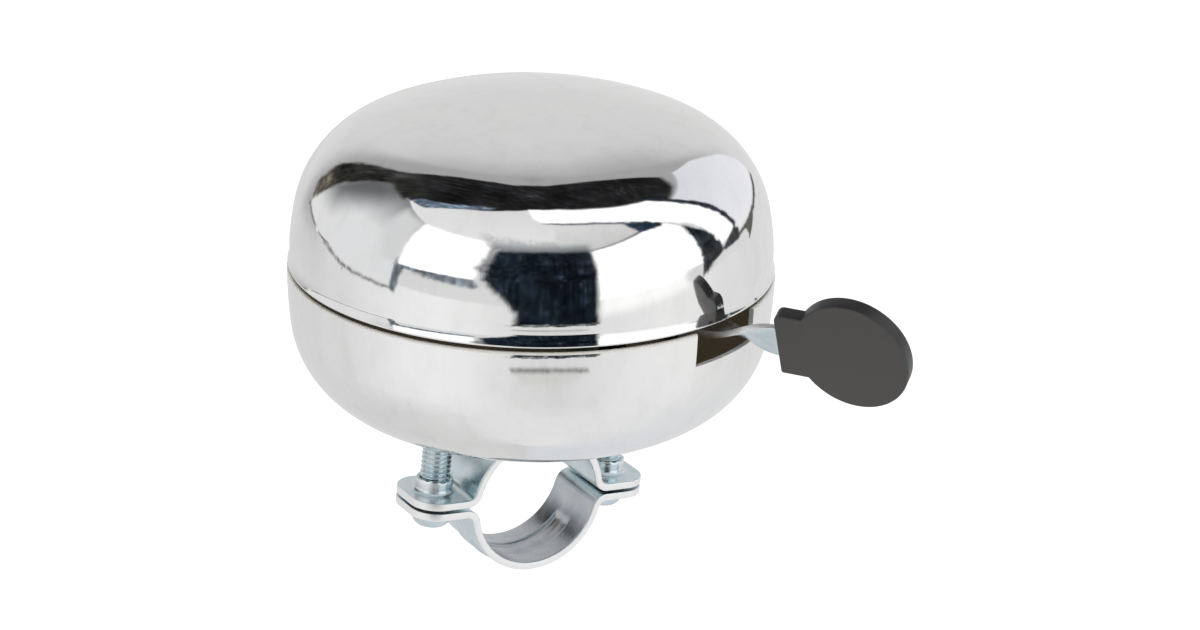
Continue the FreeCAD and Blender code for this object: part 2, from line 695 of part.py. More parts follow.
def build_thumb_lever():
    """Hub, flat arm and toothed sector, then a twisted length and a straight tongue."""
    lever = body("thumb_lever")
    along_lever(lever)
    sk = ring(sketch(lever, "XY_Plane", "lever_hub", lever_z), 0, 0, size.lever_hub)
    pad(lever, sk, lever_thick, "lever_hub_pad")
    low, high = lever_offset - lever_half, lever_offset + lever_half
    sk = chain(sketch(lever, "XY_Plane", "lever_arm", lever_z), [
        (0, low), (size.twist_start, low), (size.twist_start, high), (13.0, high),
        (7.0, 3.2, 9.0, RIGHT), (0, 3.2)])
    pad(lever, sk, lever_thick, "lever_arm_pad")
    sk = polygon(sketch(lever, "XY_Plane", "lever_sector", lever_z), sector_outline())
    pad(lever, sk, lever_thick, "lever_sector_pad")

    sections, steps = [], 6
    for k in range(steps + 1):
        part = k / steps
        ease = part * part * (3 - 2 * part)    # the twist starts and ends gently
        along = size.twist_start + (size.twist_end - size.twist_start) * part
        sk = sketch(lever, "YZ_Plane", "twist_%d" % k, along)
        sections.append(blade_section(sk, size.twist * ease))
    loft = lever.newObject("PartDesign::AdditiveLoft", "lever_twist")
    loft.Profile = (sections[0], [""])
    loft.Sections = [(sk, [""]) for sk in sections[1:]]

    sk = blade_section(sketch(lever, "YZ_Plane", "lever_tongue", size.twist_end), size.twist)
    pad(lever, sk, size.tongue_end - size.twist_end, "lever_tongue_pad")
    sk = sketch(lever, "XY_Plane", "lever_bores", lever_z - 1)
    ring(sk, 0, 0, size.bush_hub + size.bore_fit)
    ring(sk, *catch_local, size.spring_pin)
    pocket(lever, sk, 4, "lever_bores_cut")


def oval_outline(sk):
    """An oval with a square neck toward -x."""
    length, width = SIZES["pad_half_length"], SIZES["pad_half_width"]
    reach, half = SIZES["neck_reach"], SIZES["neck_half"]
    join = length * math.cos(math.asin(half / width))
    neck = [Vector(-join, half, 0), Vector(-reach, half, 0),
            Vector(-reach, -half, 0), Vector(-join, -half, 0)]
    ellipse = Part.Ellipse(Vector(0, width, 0), Vector(-length, 0, 0), Vector(0, 0, 0))
    first, last = ellipse.parameter(neck[-1]), ellipse.parameter(neck[0])
    if last < first:
        last += 2 * math.pi
    geos = [sk.addGeometry(Part.ArcOfEllipse(ellipse, first, last))]
    geos += [sk.addGeometry(Part.LineSegment(a, b)) for a, b in zip(neck, neck[1:])]
    return blocked(sk, geos)


def build_thumb_pad():
    """The oval pad over the lever's end, with a slot for the tongue."""
    thumb = body("thumb_pad")
    sk = oval_outline(sketch(thumb, "XY_Plane", "pad_face"))
    pad(thumb, sk, size.pad_thickness, "pad_plate", both=True)
    doc.recompute()
    plate = doc.getObject("pad_plate")
    edges = []
    for i, edge in enumerate(plate.Shape.Edges, 1):
        heights = {round(v.Z, 4) for v in edge.Vertexes}
        if len(heights) == 1 and abs(abs(heights.pop()) - SIZES["pad_thickness"] / 2) < 1e-4:
            edges.append("Edge%d" % i)
    chamfer = thumb.newObject("PartDesign::Chamfer", "pad_edges")
    chamfer.Base = (plate, edges)
    chamfer.Size = SIZES["pad_chamfer"]
    chamfer.setExpression("Size", "Sizes.pad_chamfer")
    start = size.neck_reach + 1
    slot = sketch(thumb, "YZ_Plane", "pad_slot", -start)
    y, z = polar(lever_offset - size.pad_across, -size.twist)
    half = lever_thick / 2
    rectangle(slot, y - lever_half, y + lever_half, z - half, z + half)
    pocket(thumb, slot, start - (size.pad_along - size.tongue_end), "pad_slot_cut")
    centre = Vector(SIZES["pad_along"], SIZES["pad_across"], lever_mid.value)
    azimuth = Placement(Vector(), Rotation(Vector(0, 0, 1), SIZES["lever_azimuth"]))
    thumb.Placement = azimuth.multiply(
        Placement(centre, Rotation(Vector(1, 0, 0), SIZES["twist"])))


# ---------------------------------------------------------------- striker
spindle_bore = size.spindle_radius + size.spindle_fit
arm_thick, hammer_height = size.arm_thickness, size.hammer_height


def build_spindle():
    """A pin riveted to the plate, with a groove near its top for the clip."""
    radius, neck, hub = size.spindle_radius, size.spindle_neck, size.hub_top
    turned("striker_spindle", [
        (0, plate_z - 1.0), (radius + 0.9, plate_z - 1.0), (radius + 1.1, plate_z - 0.7),
        (radius + 1.1, plate_z), (radius, plate_z),
        (radius, plate_top), (radius + 0.8, plate_top), (radius + 0.8, plate_top + 0.3),
        (radius, plate_top + 0.3),
        (radius, hub + 0.1), (neck, hub + 0.1), (neck, hub + 0.7), (radius, hub + 0.7),
        (radius, hub + 1.1), (radius - 0.3, hub + 1.4), (0, hub + 1.4)], striker_spot)


def build_pinion():
    """The striker's hub with the pinion teeth round it."""
    pinion = body("striker_pinion")
    sk = rectangle(sketch(pinion, "XZ_Plane", "pinion_hub"),
                   spindle_bore, size.hub_radius, size.hub_bottom, size.hub_top)
    turn(pinion, sk, "pinion_hub_turn")
    count = SIZES["pinion_teeth"]
    teeth = []
    for k in range(count):
        teeth += tooth(count, (k + 0.5) * 2 * math.pi / count)
    sk = polygon(sketch(pinion, "XY_Plane", "pinion_teeth", size.pinion_bottom), teeth)
    ring(sk, 0, 0, spindle_bore)
    pad(pinion, sk, size.pinion_top - size.pinion_bottom, "pinion_teeth_pad")
    # a gap between two teeth faces the bell axis at rest
    place(pinion, striker_spot, striker_azimuth + 180)


def build_arm(name, bottom, azimuth):
    """A flat arm on the striker's hub, with a hole for its hammer's rivet."""
    item = body(name)
    reach, half = size.arm_reach, size.arm_half
    sk = ring(sketch(item, "XY_Plane", name + "_eye", bottom), 0, 0, size.arm_ring)
    pad(item, sk, arm_thick, name + "_eye_pad")
    sk = rectangle(sketch(item, "XY_Plane", name + "_leaf", bottom), 0, reach, -half, half)
    pad(item, sk, arm_thick, name + "_leaf_pad")
    sk = ring(sketch(item, "XY_Plane", name + "_tip", bottom), reach, 0, half)
    pad(item, sk, arm_thick, name + "_tip_pad")
    sk = sketch(item, "XY_Plane", name + "_holes", bottom - 1)
    ring(sk, 0, 0, size.hub_radius)
    ring(sk, reach, 0, size.rivet_shank)
    pocket(item, sk, 3, name + "_holes_cut")
    place(item, striker_spot, azimuth)


def build_hammer(name, bottom, spot):
    """A round hammer with rounded edges and a hole for its rivet."""
    bore, radius, top, edge = size.rivet_shank, size.hammer_radius, bottom + hammer_height, 0.5
    turned(name, [
        (bore, bottom), (radius - edge, bottom), (radius, bottom + edge, edge, LEFT),
        (radius, top - edge), (radius - edge, top, edge, LEFT), (bore, top)], spot)


def build_rivet(name, bottom, top, spot):
    """A rivet between two levels, with a domed head beyond each."""
    shank, head, rise, taper, dome = size.rivet_shank, 1.8, 0.5, 0.5, 0.6
    turned(name, [
        (0, bottom - rise), (head - taper, bottom - rise), (head, bottom, dome, LEFT),
        (shank, bottom), (shank, top), (head, top), (head - taper, top + rise, dome, LEFT),
        (0, top + rise)], spot)


def build_arms_and_hammers():
    """The lower hammer hangs under its arm and the upper one stands on its arm."""
    lower, upper = size.lower_arm_bottom, size.upper_arm_bottom
    azimuths = striker_azimuth, striker_azimuth - size.arm_swing
    spots = []
    for azimuth in azimuths:
        dx, dy = polar(size.arm_reach, azimuth)
        spots.append((striker_spot[0] + dx, striker_spot[1] + dy))
    build_arm("lower_arm", lower, azimuths[0])
    build_arm("upper_arm", upper, azimuths[1])
    lower_end, upper_start = lower - hammer_height, upper + arm_thick
    build_hammer("lower_hammer", lower_end, spots[0])
    build_hammer("upper_hammer", upper_start, spots[1])
    build_rivet("lower_hammer_rivet", lower_end, lower + arm_thick, spots[0])
    build_rivet("upper_hammer_rivet", upper, upper_start + hammer_height, spots[1])


def build_clip():
    """The open ring in the spindle's groove."""
    clip = body("striker_clip")
    sk = sketch(clip, "XY_Plane", "clip_ring", size.hub_top + 0.15)
    ring(sk, 0, 0, size.clip_radius)
    ring(sk, 0, 0, size.spindle_neck)
    pad(clip, sk, 0.5, "clip_ring_pad")
    mouth_start, mouth_end, mouth_half = 0.3, 4.0, 0.85
    sk = sketch(clip, "XY_Plane", "clip_mouth", size.hub_top)
    rectangle(sk, mouth_start, mouth_end, -mouth_half, mouth_half)
    pocket(clip, sk, 2, "clip_mouth_cut")
    place(clip, striker_spot, striker_azimuth + 90)


# ---------------------------------------------------------------- stops and return spring
def build_stop(label, spot):
    """A pin riveted to the plate with a bumper round it."""
    radius = size.stop_pin
    turned(label + "_stop_pin", [
        (0, plate_z - 0.6), (radius + 0.5, plate_z - 0.6), (radius + 0.8, plate_z),
        (radius, plate_z), (radius, lever_top + 0.9), (radius - 0.2, lever_top + 1.1),
        (0, lever_top + 1.1)], spot)
    tube(label + "_bumper", radius, size.stop_radius, plate_top, lever_top + 0.6, spot, edge=0.25)


def build_spring_pins():
    """The anchor stands on the plate and the catch hangs from the lever."""
    shank, thin = size.anchor_shank, size.spring_pin
    turned("spring_anchor", [
        (0, plate_z - 0.6), (1.4, plate_z - 0.6), (1.7, plate_z), (shank, plate_z),
        (shank, plate_top), (1.4, plate_top), (1.4, plate_top + 0.15), (thin, plate_top + 0.15),
        (thin, plate_top + 2.4), (0.6, plate_top + 2.6), (0, plate_top + 2.6)],
        from_lever(anchor_local))
    turned("spring_catch", [
        (0, lever_z - 1.6), (thin, lever_z - 1.6), (thin, lever_top), (1.3, lever_top),
        (1.1, lever_top + 0.45), (0, lever_top + 0.45)], from_lever(catch_local))


def spring_leg(spot, side):
    """A leg from the coil past a pin: the angle where it leaves the coil, and its length."""
    radius = SIZES["coil_radius"]
    clear = SIZES["wire_radius"] + SIZES["spring_pin"] + 0.02
    beyond = 1.6

    def tangent_angle(x, y, circle):
        """Angle at which a line from the point touches the circle."""
        return math.atan2(y, x) + side * math.acos(circle / math.hypot(x, y))

    x, y = spot[0].value, spot[1].value
    angle = tangent_angle(x, y, radius + clear)
    x, y = x - math.cos(angle) * clear, y - math.sin(angle) * clear
    angle = tangent_angle(x, y, radius)
    run = math.hypot(x - radius * math.cos(angle), y - radius * math.sin(angle))
    return angle, run + beyond


def build_spring():
    """A wire from the plate's anchor, round the bushing flange, to the catch under the lever."""
    wire, radius, pitch = SIZES["wire_radius"], SIZES["coil_radius"], SIZES["coil_pitch"]
    first, first_leg = spring_leg(anchor_local, 1)
    last, last_leg = spring_leg(catch_local, -1)
    sweep = (last - first) % (2 * math.pi) + 2 * math.pi * (SIZES["coil_turns"] - 1)
    # both legs keep the slope of the coil, so the wire runs on without a kink
    slope = pitch / (2 * math.pi * radius)
    bottom = plate_top.value + 0.2 + wire + first_leg * slope
    top = bottom + pitch * sweep / (2 * math.pi)

    def coil_end(angle, height):
        """The point on the coil and the direction of the wire there."""
        c, s = math.cos(angle), math.sin(angle)
        return Vector(radius * c, radius * s, height), Vector(-s, c, slope)

    start, start_way = coil_end(first, bottom)
    end, end_way = coil_end(last, top)
    tail = start - start_way * first_leg
    coil = Part.makeLongHelix(pitch, top - bottom, radius, 0, False)
    coil.rotate(Vector(), Vector(0, 0, 1), math.degrees(first))
    coil.translate(Vector(0, 0, bottom))
    path = Part.Wire([Part.makeLine(tail, start)] + coil.Edges
                     + [Part.makeLine(end, end + end_way * last_leg)])
    section = Part.Wire([Part.makeCircle(wire, tail, start_way)])
    spring = doc.addObject("Part::Feature", "return_spring")
    spring.Label = "return_spring"
    spring.Shape = path.makePipeShell([section], True, True)
    spring.Placement = Placement(Vector(), Rotation(Vector(0, 0, 1), SIZES["lever_azimuth"]))
    PARTS.append(spring)


# ---------------------------------------------------------------- build every piece
build_saddle()
build_strap()
build_clamp_screw("left_clamp_screw")
build_clamp_screw("right_clamp_screw")
build_upper_gong()
build_lower_gong()

build_centre_post()
build_base_washer()
tube("inner_washer", post_bore, size.washer_radius, inner_washer_z, base_nut_z, edge=0.2)
build_nut("base_nut", base_nut_z, size.base_nut)
tube("spacer_sleeve", post_bore, size.sleeve_radius, sleeve_z, plate_z)
build_mechanism_plate()
build_lever_bushing()
tube("lever_washer", post_bore, size.lever_washer_radius, bushing_top, lever_nut_z, edge=0.12)
build_nut("lever_nut", lever_nut_z, size.lever_nut)
tube("upper_spacer", post_bore, size.sleeve_radius, upper_spacer_z, top_washer_z)
tube("top_washer", post_bore, size.washer_radius - 1, top_washer_z, size.boss_bottom, edge=0.2)
build_gong_boss()

build_thumb_lever()
build_thumb_pad()
build_spindle()
build_pinion()
build_arms_and_hammers()
build_clip()
build_stop("rest", from_lever(rest_local))
build_stop("press", from_lever(press_local))
build_spring_pins()
build_spring()

# ---------------------------------------------------------------- tilt the clamp, shift the bell
# which screw hole, toward -x or +x, each clamp piece is drawn about; 0 is the bar's axis
CLAMP_SIDES = {"clamp_saddle": 0, "clamp_strap": 0, "left_clamp_screw": -1, "right_clamp_screw": 1}


def tilt_on_bar(item, side):
    x, z = polar(side * size.screw_x, -size.clamp_tilt)
    item.Placement = Placement(Vector(x.value, 0, z.value),
                               Rotation(Vector(0, 1, 0), SIZES["clamp_tilt"]))
    item.setExpression("Placement.Base.x", x.text)
    item.setExpression("Placement.Base.z", z.text)
    item.setExpression("Placement.Rotation.Angle", "Sizes.clamp_tilt")


def shift_to_post(item):
    bound = {path.lstrip("."): text for path, text in item.ExpressionEngine}
    before = bound.get("Placement.Base.x", repr(item.Placement.Base.x))
    item.Placement = Placement(item.Placement.Base + Vector(SIZES["bell_offset"], 0, 0),
                               item.Placement.Rotation)
    item.setExpression("Placement.Base.x", "(%s) + Sizes.bell_offset" % before)


for item in PARTS:
    if item.Label in CLAMP_SIDES:
        tilt_on_bar(item, CLAMP_SIDES[item.Label])
    else:
        shift_to_post(item)

# ---------------------------------------------------------------- check and write
doc.recompute()
bad = ["%s: %s" % (obj.Name, obj.State) for obj in doc.Objects
       if "Invalid" in obj.State or "Error" in obj.State]
for item in PARTS:
    shape = item.Shape
    if shape.isNull() or not shape.isValid() or len(shape.Solids) != 1:
        bad.append("%s: not one valid solid" % item.Label)
if bad:
    raise RuntimeError("; ".join(bad))
for item in PARTS:
    item.Shape.exportStep("parts/%s.step" % item.Label)
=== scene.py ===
import json
import math

import bmesh
import bpy
import numpy as np
from mathutils import Matrix, Vector


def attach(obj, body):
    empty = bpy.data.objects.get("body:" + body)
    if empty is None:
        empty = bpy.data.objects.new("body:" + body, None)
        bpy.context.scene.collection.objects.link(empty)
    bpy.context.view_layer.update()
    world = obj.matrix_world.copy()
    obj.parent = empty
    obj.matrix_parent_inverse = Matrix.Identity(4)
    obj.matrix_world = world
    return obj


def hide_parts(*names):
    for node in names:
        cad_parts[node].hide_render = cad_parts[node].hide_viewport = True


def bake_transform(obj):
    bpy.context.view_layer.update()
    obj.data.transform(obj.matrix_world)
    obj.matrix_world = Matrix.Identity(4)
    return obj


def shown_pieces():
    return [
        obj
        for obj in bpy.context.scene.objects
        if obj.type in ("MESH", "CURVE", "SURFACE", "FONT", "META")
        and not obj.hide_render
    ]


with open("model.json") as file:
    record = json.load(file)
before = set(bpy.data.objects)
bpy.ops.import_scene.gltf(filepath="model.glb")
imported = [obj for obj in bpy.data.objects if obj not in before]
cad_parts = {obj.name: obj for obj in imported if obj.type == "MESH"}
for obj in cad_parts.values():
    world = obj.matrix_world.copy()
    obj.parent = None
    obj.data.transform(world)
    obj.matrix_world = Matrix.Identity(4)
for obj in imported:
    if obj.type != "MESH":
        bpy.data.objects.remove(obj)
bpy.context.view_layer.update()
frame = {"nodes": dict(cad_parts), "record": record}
NODES = frame["nodes"]
MM = 0.001
RNG = np.random.default_rng(7)

# ------------------------------------------------------------------ sizes shared with the solids (mm)
SEAM = 40.6
LEVER_AZ = math.radians(-54.4)
STRIKER_AZ = LEVER_AZ + math.radians(175.0)
NOTCH_AZ, NOTCH_HALF = math.radians(-68.2), 7.46
TILT, BX = math.radians(4.8), 1.2  # the clamp is turned about the bar, and the gong axis passes beside the bar's centre
CLAMP = {"clamp_saddle", "clamp_strap", "left_clamp_screw", "right_clamp_screw"}


# ------------------------------------------------------------------ small mesh tools
def new_object(name, verts, faces, material=None, sharp=35.0, scale=MM):
    mesh = bpy.data.meshes.new(name)
    verts = np.asarray(verts, float) * scale
    mesh.from_pydata(verts.tolist(), [], [list(map(int, f)) for f in faces])
    obj = bpy.data.objects.new(name, mesh)
    bpy.context.scene.collection.objects.link(obj)
    tidy(obj, sharp)
    if material:
        mesh.materials.append(material)
    return obj


def tidy(obj, sharp=35.0, merge=None):
    """Consistent normals, smooth faces, and hard edges only where the surface really turns."""
    bm = bmesh.new()
    bm.from_mesh(obj.data)
    if merge:
        bmesh.ops.remove_doubles(bm, verts=bm.verts, dist=merge)
    bmesh.ops.recalc_face_normals(bm, faces=bm.faces)
    limit = math.radians(sharp)
    for f in bm.faces:
        f.smooth = True
    for e in bm.edges:
        e.smooth = not (len(e.link_faces) == 2 and e.calc_face_angle(0.0) > limit)
    bm.to_mesh(obj.data)
    bm.free()


def bake(obj):
    """Applies the modifiers of an object to its mesh."""
    dg = bpy.context.evaluated_depsgraph_get()
    dg.update()
    mesh = bpy.data.meshes.new_from_object(obj.evaluated_get(dg))
    old = obj.data
    obj.modifiers.clear()
    obj.data = mesh
    bpy.data.meshes.remove(old)


def boolean(obj, other, kind, drop=True):
    m = obj.modifiers.new("b", "BOOLEAN")
    m.operation, m.solver, m.object = kind, "EXACT", other
    bpy.context.view_layer.update()
    bake(obj)
    if drop:
        bpy.data.objects.remove(other)


def lathe(name, loop, segments=192, material=None, sharp=35.0, centre=(0, 0), start=0.0):
    """Turns a closed outline of (radius, height) points about a vertical axis. Points on the axis become poles."""
    verts, rings = [], []
    angles = start + np.arange(segments) * 2 * math.pi / segments
    for r, z in loop:
        if r < 1e-9:
            rings.append([len(verts)])
            verts.append((centre[0], centre[1], z))
        else:
            rings.append(list(range(len(verts), len(verts) + segments)))
            verts += [(centre[0] + r * math.cos(a), centre[1] + r * math.sin(a), z) for a in angles]
    faces = []
    for i in range(len(loop)):
        a, b = rings[i - 1], rings[i]
        if len(a) == 1 and len(b) == 1:
            continue
        for j in range(segments):
            k = (j + 1) % segments
            if len(a) == 1:
                faces.append((a[0], b[j], b[k]))
            elif len(b) == 1:
                faces.append((a[j], b[0], a[k]))
            else:
                faces.append((a[j], b[j], b[k], a[k]))
    return new_object(name, verts, faces, material, sharp)


def arc(cx, cy, r, a0, a1, n):
    return [(cx + r * math.cos(a), cy + r * math.sin(a)) for a in np.linspace(math.radians(a0), math.radians(a1), n)]


def cylinder(name, r, z0, z1, centre=(0, 0), segments=64):
    return lathe(name, [(0, z0), (r, z0), (r, z1), (0, z1)], segments, centre=centre)


# ------------------------------------------------------------------ materials
def material(name):
    mat = bpy.data.materials.new(name)
    mat.use_nodes = True
    nt = mat.node_tree
    return mat, nt, nt.nodes["Principled BSDF"]


def add(nt, kind, **values):
    node = nt.nodes.new(kind)
    for key, value in values.items():
        if key in node.inputs:
            node.inputs[key].default_value = value
        else:
            setattr(node, key, value)
    return node


def coords(nt, scale=(1, 1, 1)):
    geo = add(nt, "ShaderNodeTexCoord")
    mapping = add(nt, "ShaderNodeMapping")
    mapping.inputs["Scale"].default_value = scale
    nt.links.new(geo.outputs["Object"], mapping.inputs["Vector"])
    return mapping.outputs["Vector"]


def noise(nt, vector, scale, detail=4.0, rough=0.5, distortion=0.0):
    n = add(nt, "ShaderNodeTexNoise")
    n.inputs["Scale"].default_value = scale
    n.inputs["Detail"].default_value = detail
    n.inputs["Roughness"].default_value = rough
    n.inputs["Distortion"].default_value = distortion
    nt.links.new(vector, n.inputs["Vector"])
    return n.outputs["Fac"]


def ramp(nt, source, stops):
    r = add(nt, "ShaderNodeValToRGB")
    e = r.color_ramp.elements
    while len(e) < len(stops):
        e.new(0.5)
    for item, (pos, col) in zip(e, stops):
        item.position = pos
        item.color = tuple(col) + (1,) if len(col) == 3 else col
    nt.links.new(source, r.inputs["Fac"])
    return r.outputs["Color"]


def remap(nt, source, lo, hi, a=0.0, b=1.0):
    m = add(nt, "ShaderNodeMapRange")
    m.inputs["From Min"].default_value, m.inputs["From Max"].default_value = a, b
    m.inputs["To Min"].default_value, m.inputs["To Max"].default_value = lo, hi
    nt.links.new(source, m.inputs["Value"])
    return m.outputs["Result"]


def bump(nt, bsdf, layers):
    """layers: (height socket, distance in metres, strength), stacked."""
    previous = None
    for height, distance, strength in layers:
        b = add(nt, "ShaderNodeBump")
        b.inputs["Strength"].default_value = strength
        b.inputs["Distance"].default_value = distance
        nt.links.new(height, b.inputs["Height"])
        if previous:
            nt.links.new(previous, b.inputs["Normal"])
        previous = b.outputs["Normal"]
    nt.links.new(previous, bsdf.inputs["Normal"])


def product(nt, a, b, operation="MULTIPLY"):
    m = add(nt, "ShaderNodeMath", operation=operation)
    for socket, value in zip(m.inputs, (a, b)):
        if isinstance(value, (int, float)):
            socket.default_value = value
        else:
            nt.links.new(value, socket)
    return m.outputs[0]


def chrome_material():
    """Bright plate over a polished sheet: fine polishing streaks down the wall in patches, a few pits and specks."""
    mat, nt, bsdf = material("chrome_plate")
    v = coords(nt)
    swirl = noise(nt, v, 70.0, 3.0, 0.5)
    fine = noise(nt, v, 1500.0, 6.0, 0.75)
    streak = noise(nt, coords(nt, (1.0, 1.0, 0.16)), 2300.0, 5.0, 0.75)
    patch = remap(nt, noise(nt, v, 110.0, 3.0, 0.55), 0.12, 1.0, 0.44, 0.62)
    haze = noise(nt, v, 35.0, 5.0, 0.6)
    mottle = noise(nt, coords(nt, (1.0, 1.0, 0.5)), 260.0, 5.0, 0.65)
    pits = add(nt, "ShaderNodeTexVoronoi", feature="F1")
    pits.inputs["Scale"].default_value = 190.0
    nt.links.new(coords(nt, (1.0, 1.0, 0.7)), pits.inputs["Vector"])
    few = remap(nt, noise(nt, v, 900.0, 2.0, 0.5), 0.0, 1.0, 0.60, 0.66)
    spot = product(nt, remap(nt, pits.outputs["Distance"], 1.0, 0.0, 0.03, 0.085), few)
    bsdf.inputs["Metallic"].default_value = 1.0
    tint = ramp(nt, haze, [(0.3, (0.875, 0.88, 0.885)), (0.7, (0.905, 0.905, 0.90))])
    grey = ramp(nt, mottle, [(0.34, (0.90, 0.90, 0.895)), (0.52, (1.0, 1.0, 1.0))])
    mix = add(nt, "ShaderNodeMix", data_type="RGBA", blend_type="MULTIPLY")
    mix.inputs["Factor"].default_value = 0.45
    nt.links.new(tint, mix.inputs["A"])
    nt.links.new(grey, mix.inputs["B"])
    dirt = add(nt, "ShaderNodeMix", data_type="RGBA")
    nt.links.new(spot, dirt.inputs["Factor"])
    nt.links.new(mix.outputs["Result"], dirt.inputs["A"])
    dirt.inputs["B"].default_value = (0.20, 0.19, 0.17, 1)
    nt.links.new(dirt.outputs["Result"], bsdf.inputs["Base Color"])
    nt.links.new(remap(nt, haze, 0.025, 0.06, 0.35, 0.7), bsdf.inputs["Roughness"])
    bump(nt, bsdf, [(swirl, 0.00003, 0.12), (product(nt, streak, patch), 0.000010, 0.34), (fine, 0.0000025, 0.14)])
    return mat


def inside_material():
    """The unpolished inside of the shells, dull and brownish."""
    mat, nt, bsdf = material("shell_inside")
    v = coords(nt)
    cloud = noise(nt, v, 140.0, 4.0, 0.6)
    grain = noise(nt, v, 3000.0, 4.0, 0.7)
    bsdf.inputs["Metallic"].default_value = 0.35
    nt.links.new(ramp(nt, cloud, [(0.3, (0.40, 0.34, 0.26)), (0.7, (0.52, 0.46, 0.37))]), bsdf.inputs["Base Color"])
    nt.links.new(remap(nt, cloud, 0.5, 0.65, 0.3, 0.7), bsdf.inputs["Roughness"])
    bsdf.inputs["Emission Color"].default_value = (1.0, 0.84, 0.60, 1)
    bsdf.inputs["Emission Strength"].default_value = 0.018  # stands for the many bounces inside the closed shell
    bump(nt, bsdf, [(grain, 0.00001, 0.3)])
    return mat


def edge_material():
    """The trimmed edge of a shell, rubbed bright and slightly warm."""
    mat, nt, bsdf = material("shell_edge")
    v = coords(nt)
    rub = noise(nt, v, 900.0, 4.0, 0.6)
    bsdf.inputs["Metallic"].default_value = 0.15
    nt.links.new(ramp(nt, rub, [(0.3, (0.90, 0.87, 0.80)), (0.7, (0.98, 0.96, 0.91))]), bsdf.inputs["Base Color"])
    nt.links.new(remap(nt, rub, 0.38, 0.55, 0.3, 0.7), bsdf.inputs["Roughness"])
    bump(nt, bsdf, [(rub, 0.00001, 0.3)])
    return mat


def zinc_material(name="zinc_plate", tone=(0.56, 0.68, 0.73), warm=(0.80, 0.845, 0.86), rough=(0.20, 0.32)):
    mat, nt, bsdf = material(name)
    v = coords(nt)
    blotch = noise(nt, v, 220.0, 5.0, 0.6, 0.4)
    grain = noise(nt, v, 2500.0, 5.0, 0.7)
    scratch = noise(nt, coords(nt, (1.0, 0.06, 1.0)), 3200.0, 3.0, 0.6)
    bsdf.inputs["Metallic"].default_value = 1.0
    nt.links.new(ramp(nt, blotch, [(0.32, tone), (0.55, tuple(0.5 * (a + b) for a, b in zip(tone, warm))), (0.75, warm)]),
                 bsdf.inputs["Base Color"])
    nt.links.new(remap(nt, blotch, rough[0], rough[1], 0.3, 0.75), bsdf.inputs["Roughness"])
    bump(nt, bsdf, [(blotch, 0.00005, 0.18), (scratch, 0.000006, 0.15), (grain, 0.000005, 0.2)])
    return mat


def plastic_material(name, colour, rough=(0.42, 0.55), grain=0.3):
    mat, nt, bsdf = material(name)
    v = coords(nt)
    cloud = noise(nt, v, 300.0, 4.0, 0.6)
    pit = noise(nt, v, 5200.0, 3.0, 0.6)
    dark = tuple(c * 0.86 for c in colour)
    nt.links.new(ramp(nt, cloud, [(0.3, dark), (0.7, colour)]), bsdf.inputs["Base Color"])
    nt.links.new(remap(nt, cloud, rough[0], rough[1], 0.3, 0.7), bsdf.inputs["Roughness"])
    bsdf.inputs["Specular IOR Level"].default_value = 0.45
    bump(nt, bsdf, [(cloud, 0.00003, 0.15), (pit, 0.00001, grain)])
    return mat


def brass_material():
    mat, nt, bsdf = material("turned_brass")
    v = coords(nt)
    tarnish = noise(nt, v, 180.0, 5.0, 0.6)
    lines = noise(nt, coords(nt, (0.05, 0.05, 1.0)), 6000.0, 2.0, 0.5)
    bsdf.inputs["Metallic"].default_value = 1.0
    nt.links.new(ramp(nt, tarnish, [(0.3, (0.62, 0.44, 0.17)), (0.7, (0.80, 0.62, 0.30))]), bsdf.inputs["Base Color"])
    nt.links.new(remap(nt, tarnish, 0.38, 0.2, 0.3, 0.7), bsdf.inputs["Roughness"])
    bump(nt, bsdf, [(lines, 0.00001, 0.5)])
    return mat


CHROME = chrome_material()
ZINC = zinc_material()
SHEARED = zinc_material("sheared_edge", (0.93, 0.94, 0.95), (0.97, 0.965, 0.95), (0.42, 0.55))
WORN = zinc_material("worn_zinc", (0.40, 0.43, 0.47), (0.66, 0.67, 0.68), (0.20, 0.36))
SPRING = zinc_material("spring_steel", (0.36, 0.37, 0.40), (0.46, 0.45, 0.44), (0.22, 0.38))
BRASS = brass_material()
RUBBER = plastic_material("black_rubber", (0.022, 0.022, 0.023), (0.6, 0.8), 0.5)
FIBRE = plastic_material("fibre", (0.26, 0.085, 0.045), (0.6, 0.75), 0.5)
PLASTIC = plastic_material("grey_plastic", (0.068, 0.062, 0.058), (0.46, 0.60), 0.4)
# the pad's sides: a darker copy of the grey plastic, which is painted shade, with a smoother finish of their own
PLASTIC_SIDE_SHADE = plastic_material("grey_plastic_side_shade", (0.036, 0.036, 0.039), (0.34, 0.46), 0.3)
INSIDE, EDGE = inside_material(), edge_material()
SLOTS = {"chrome_shell": CHROME, "zinc_plate": ZINC, "spring_steel": SPRING, "brass_part": BRASS,
         "black_rubber": RUBBER, "fibre": FIBRE, "grey_plastic": PLASTIC}
SLOT_OF = {s["node"]: s.get("material_slot", s["node"]) for s in frame["record"]["subparts"]}


def stand_for(obj, node, body, also=()):
    """The finished mesh takes the place of a solid and moves with its body."""
    obj.data.materials.clear()
    obj.data.materials.append(SLOTS[SLOT_OF[node]])
    for extra in also:
        obj.data.materials.append(extra)
    obj.data.transform(Matrix.Rotation(TILT, 4, "Y") if node in CLAMP else Matrix.Translation((BX * MM, 0, 0)))
    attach(obj, body)
    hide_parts(node)
    return obj


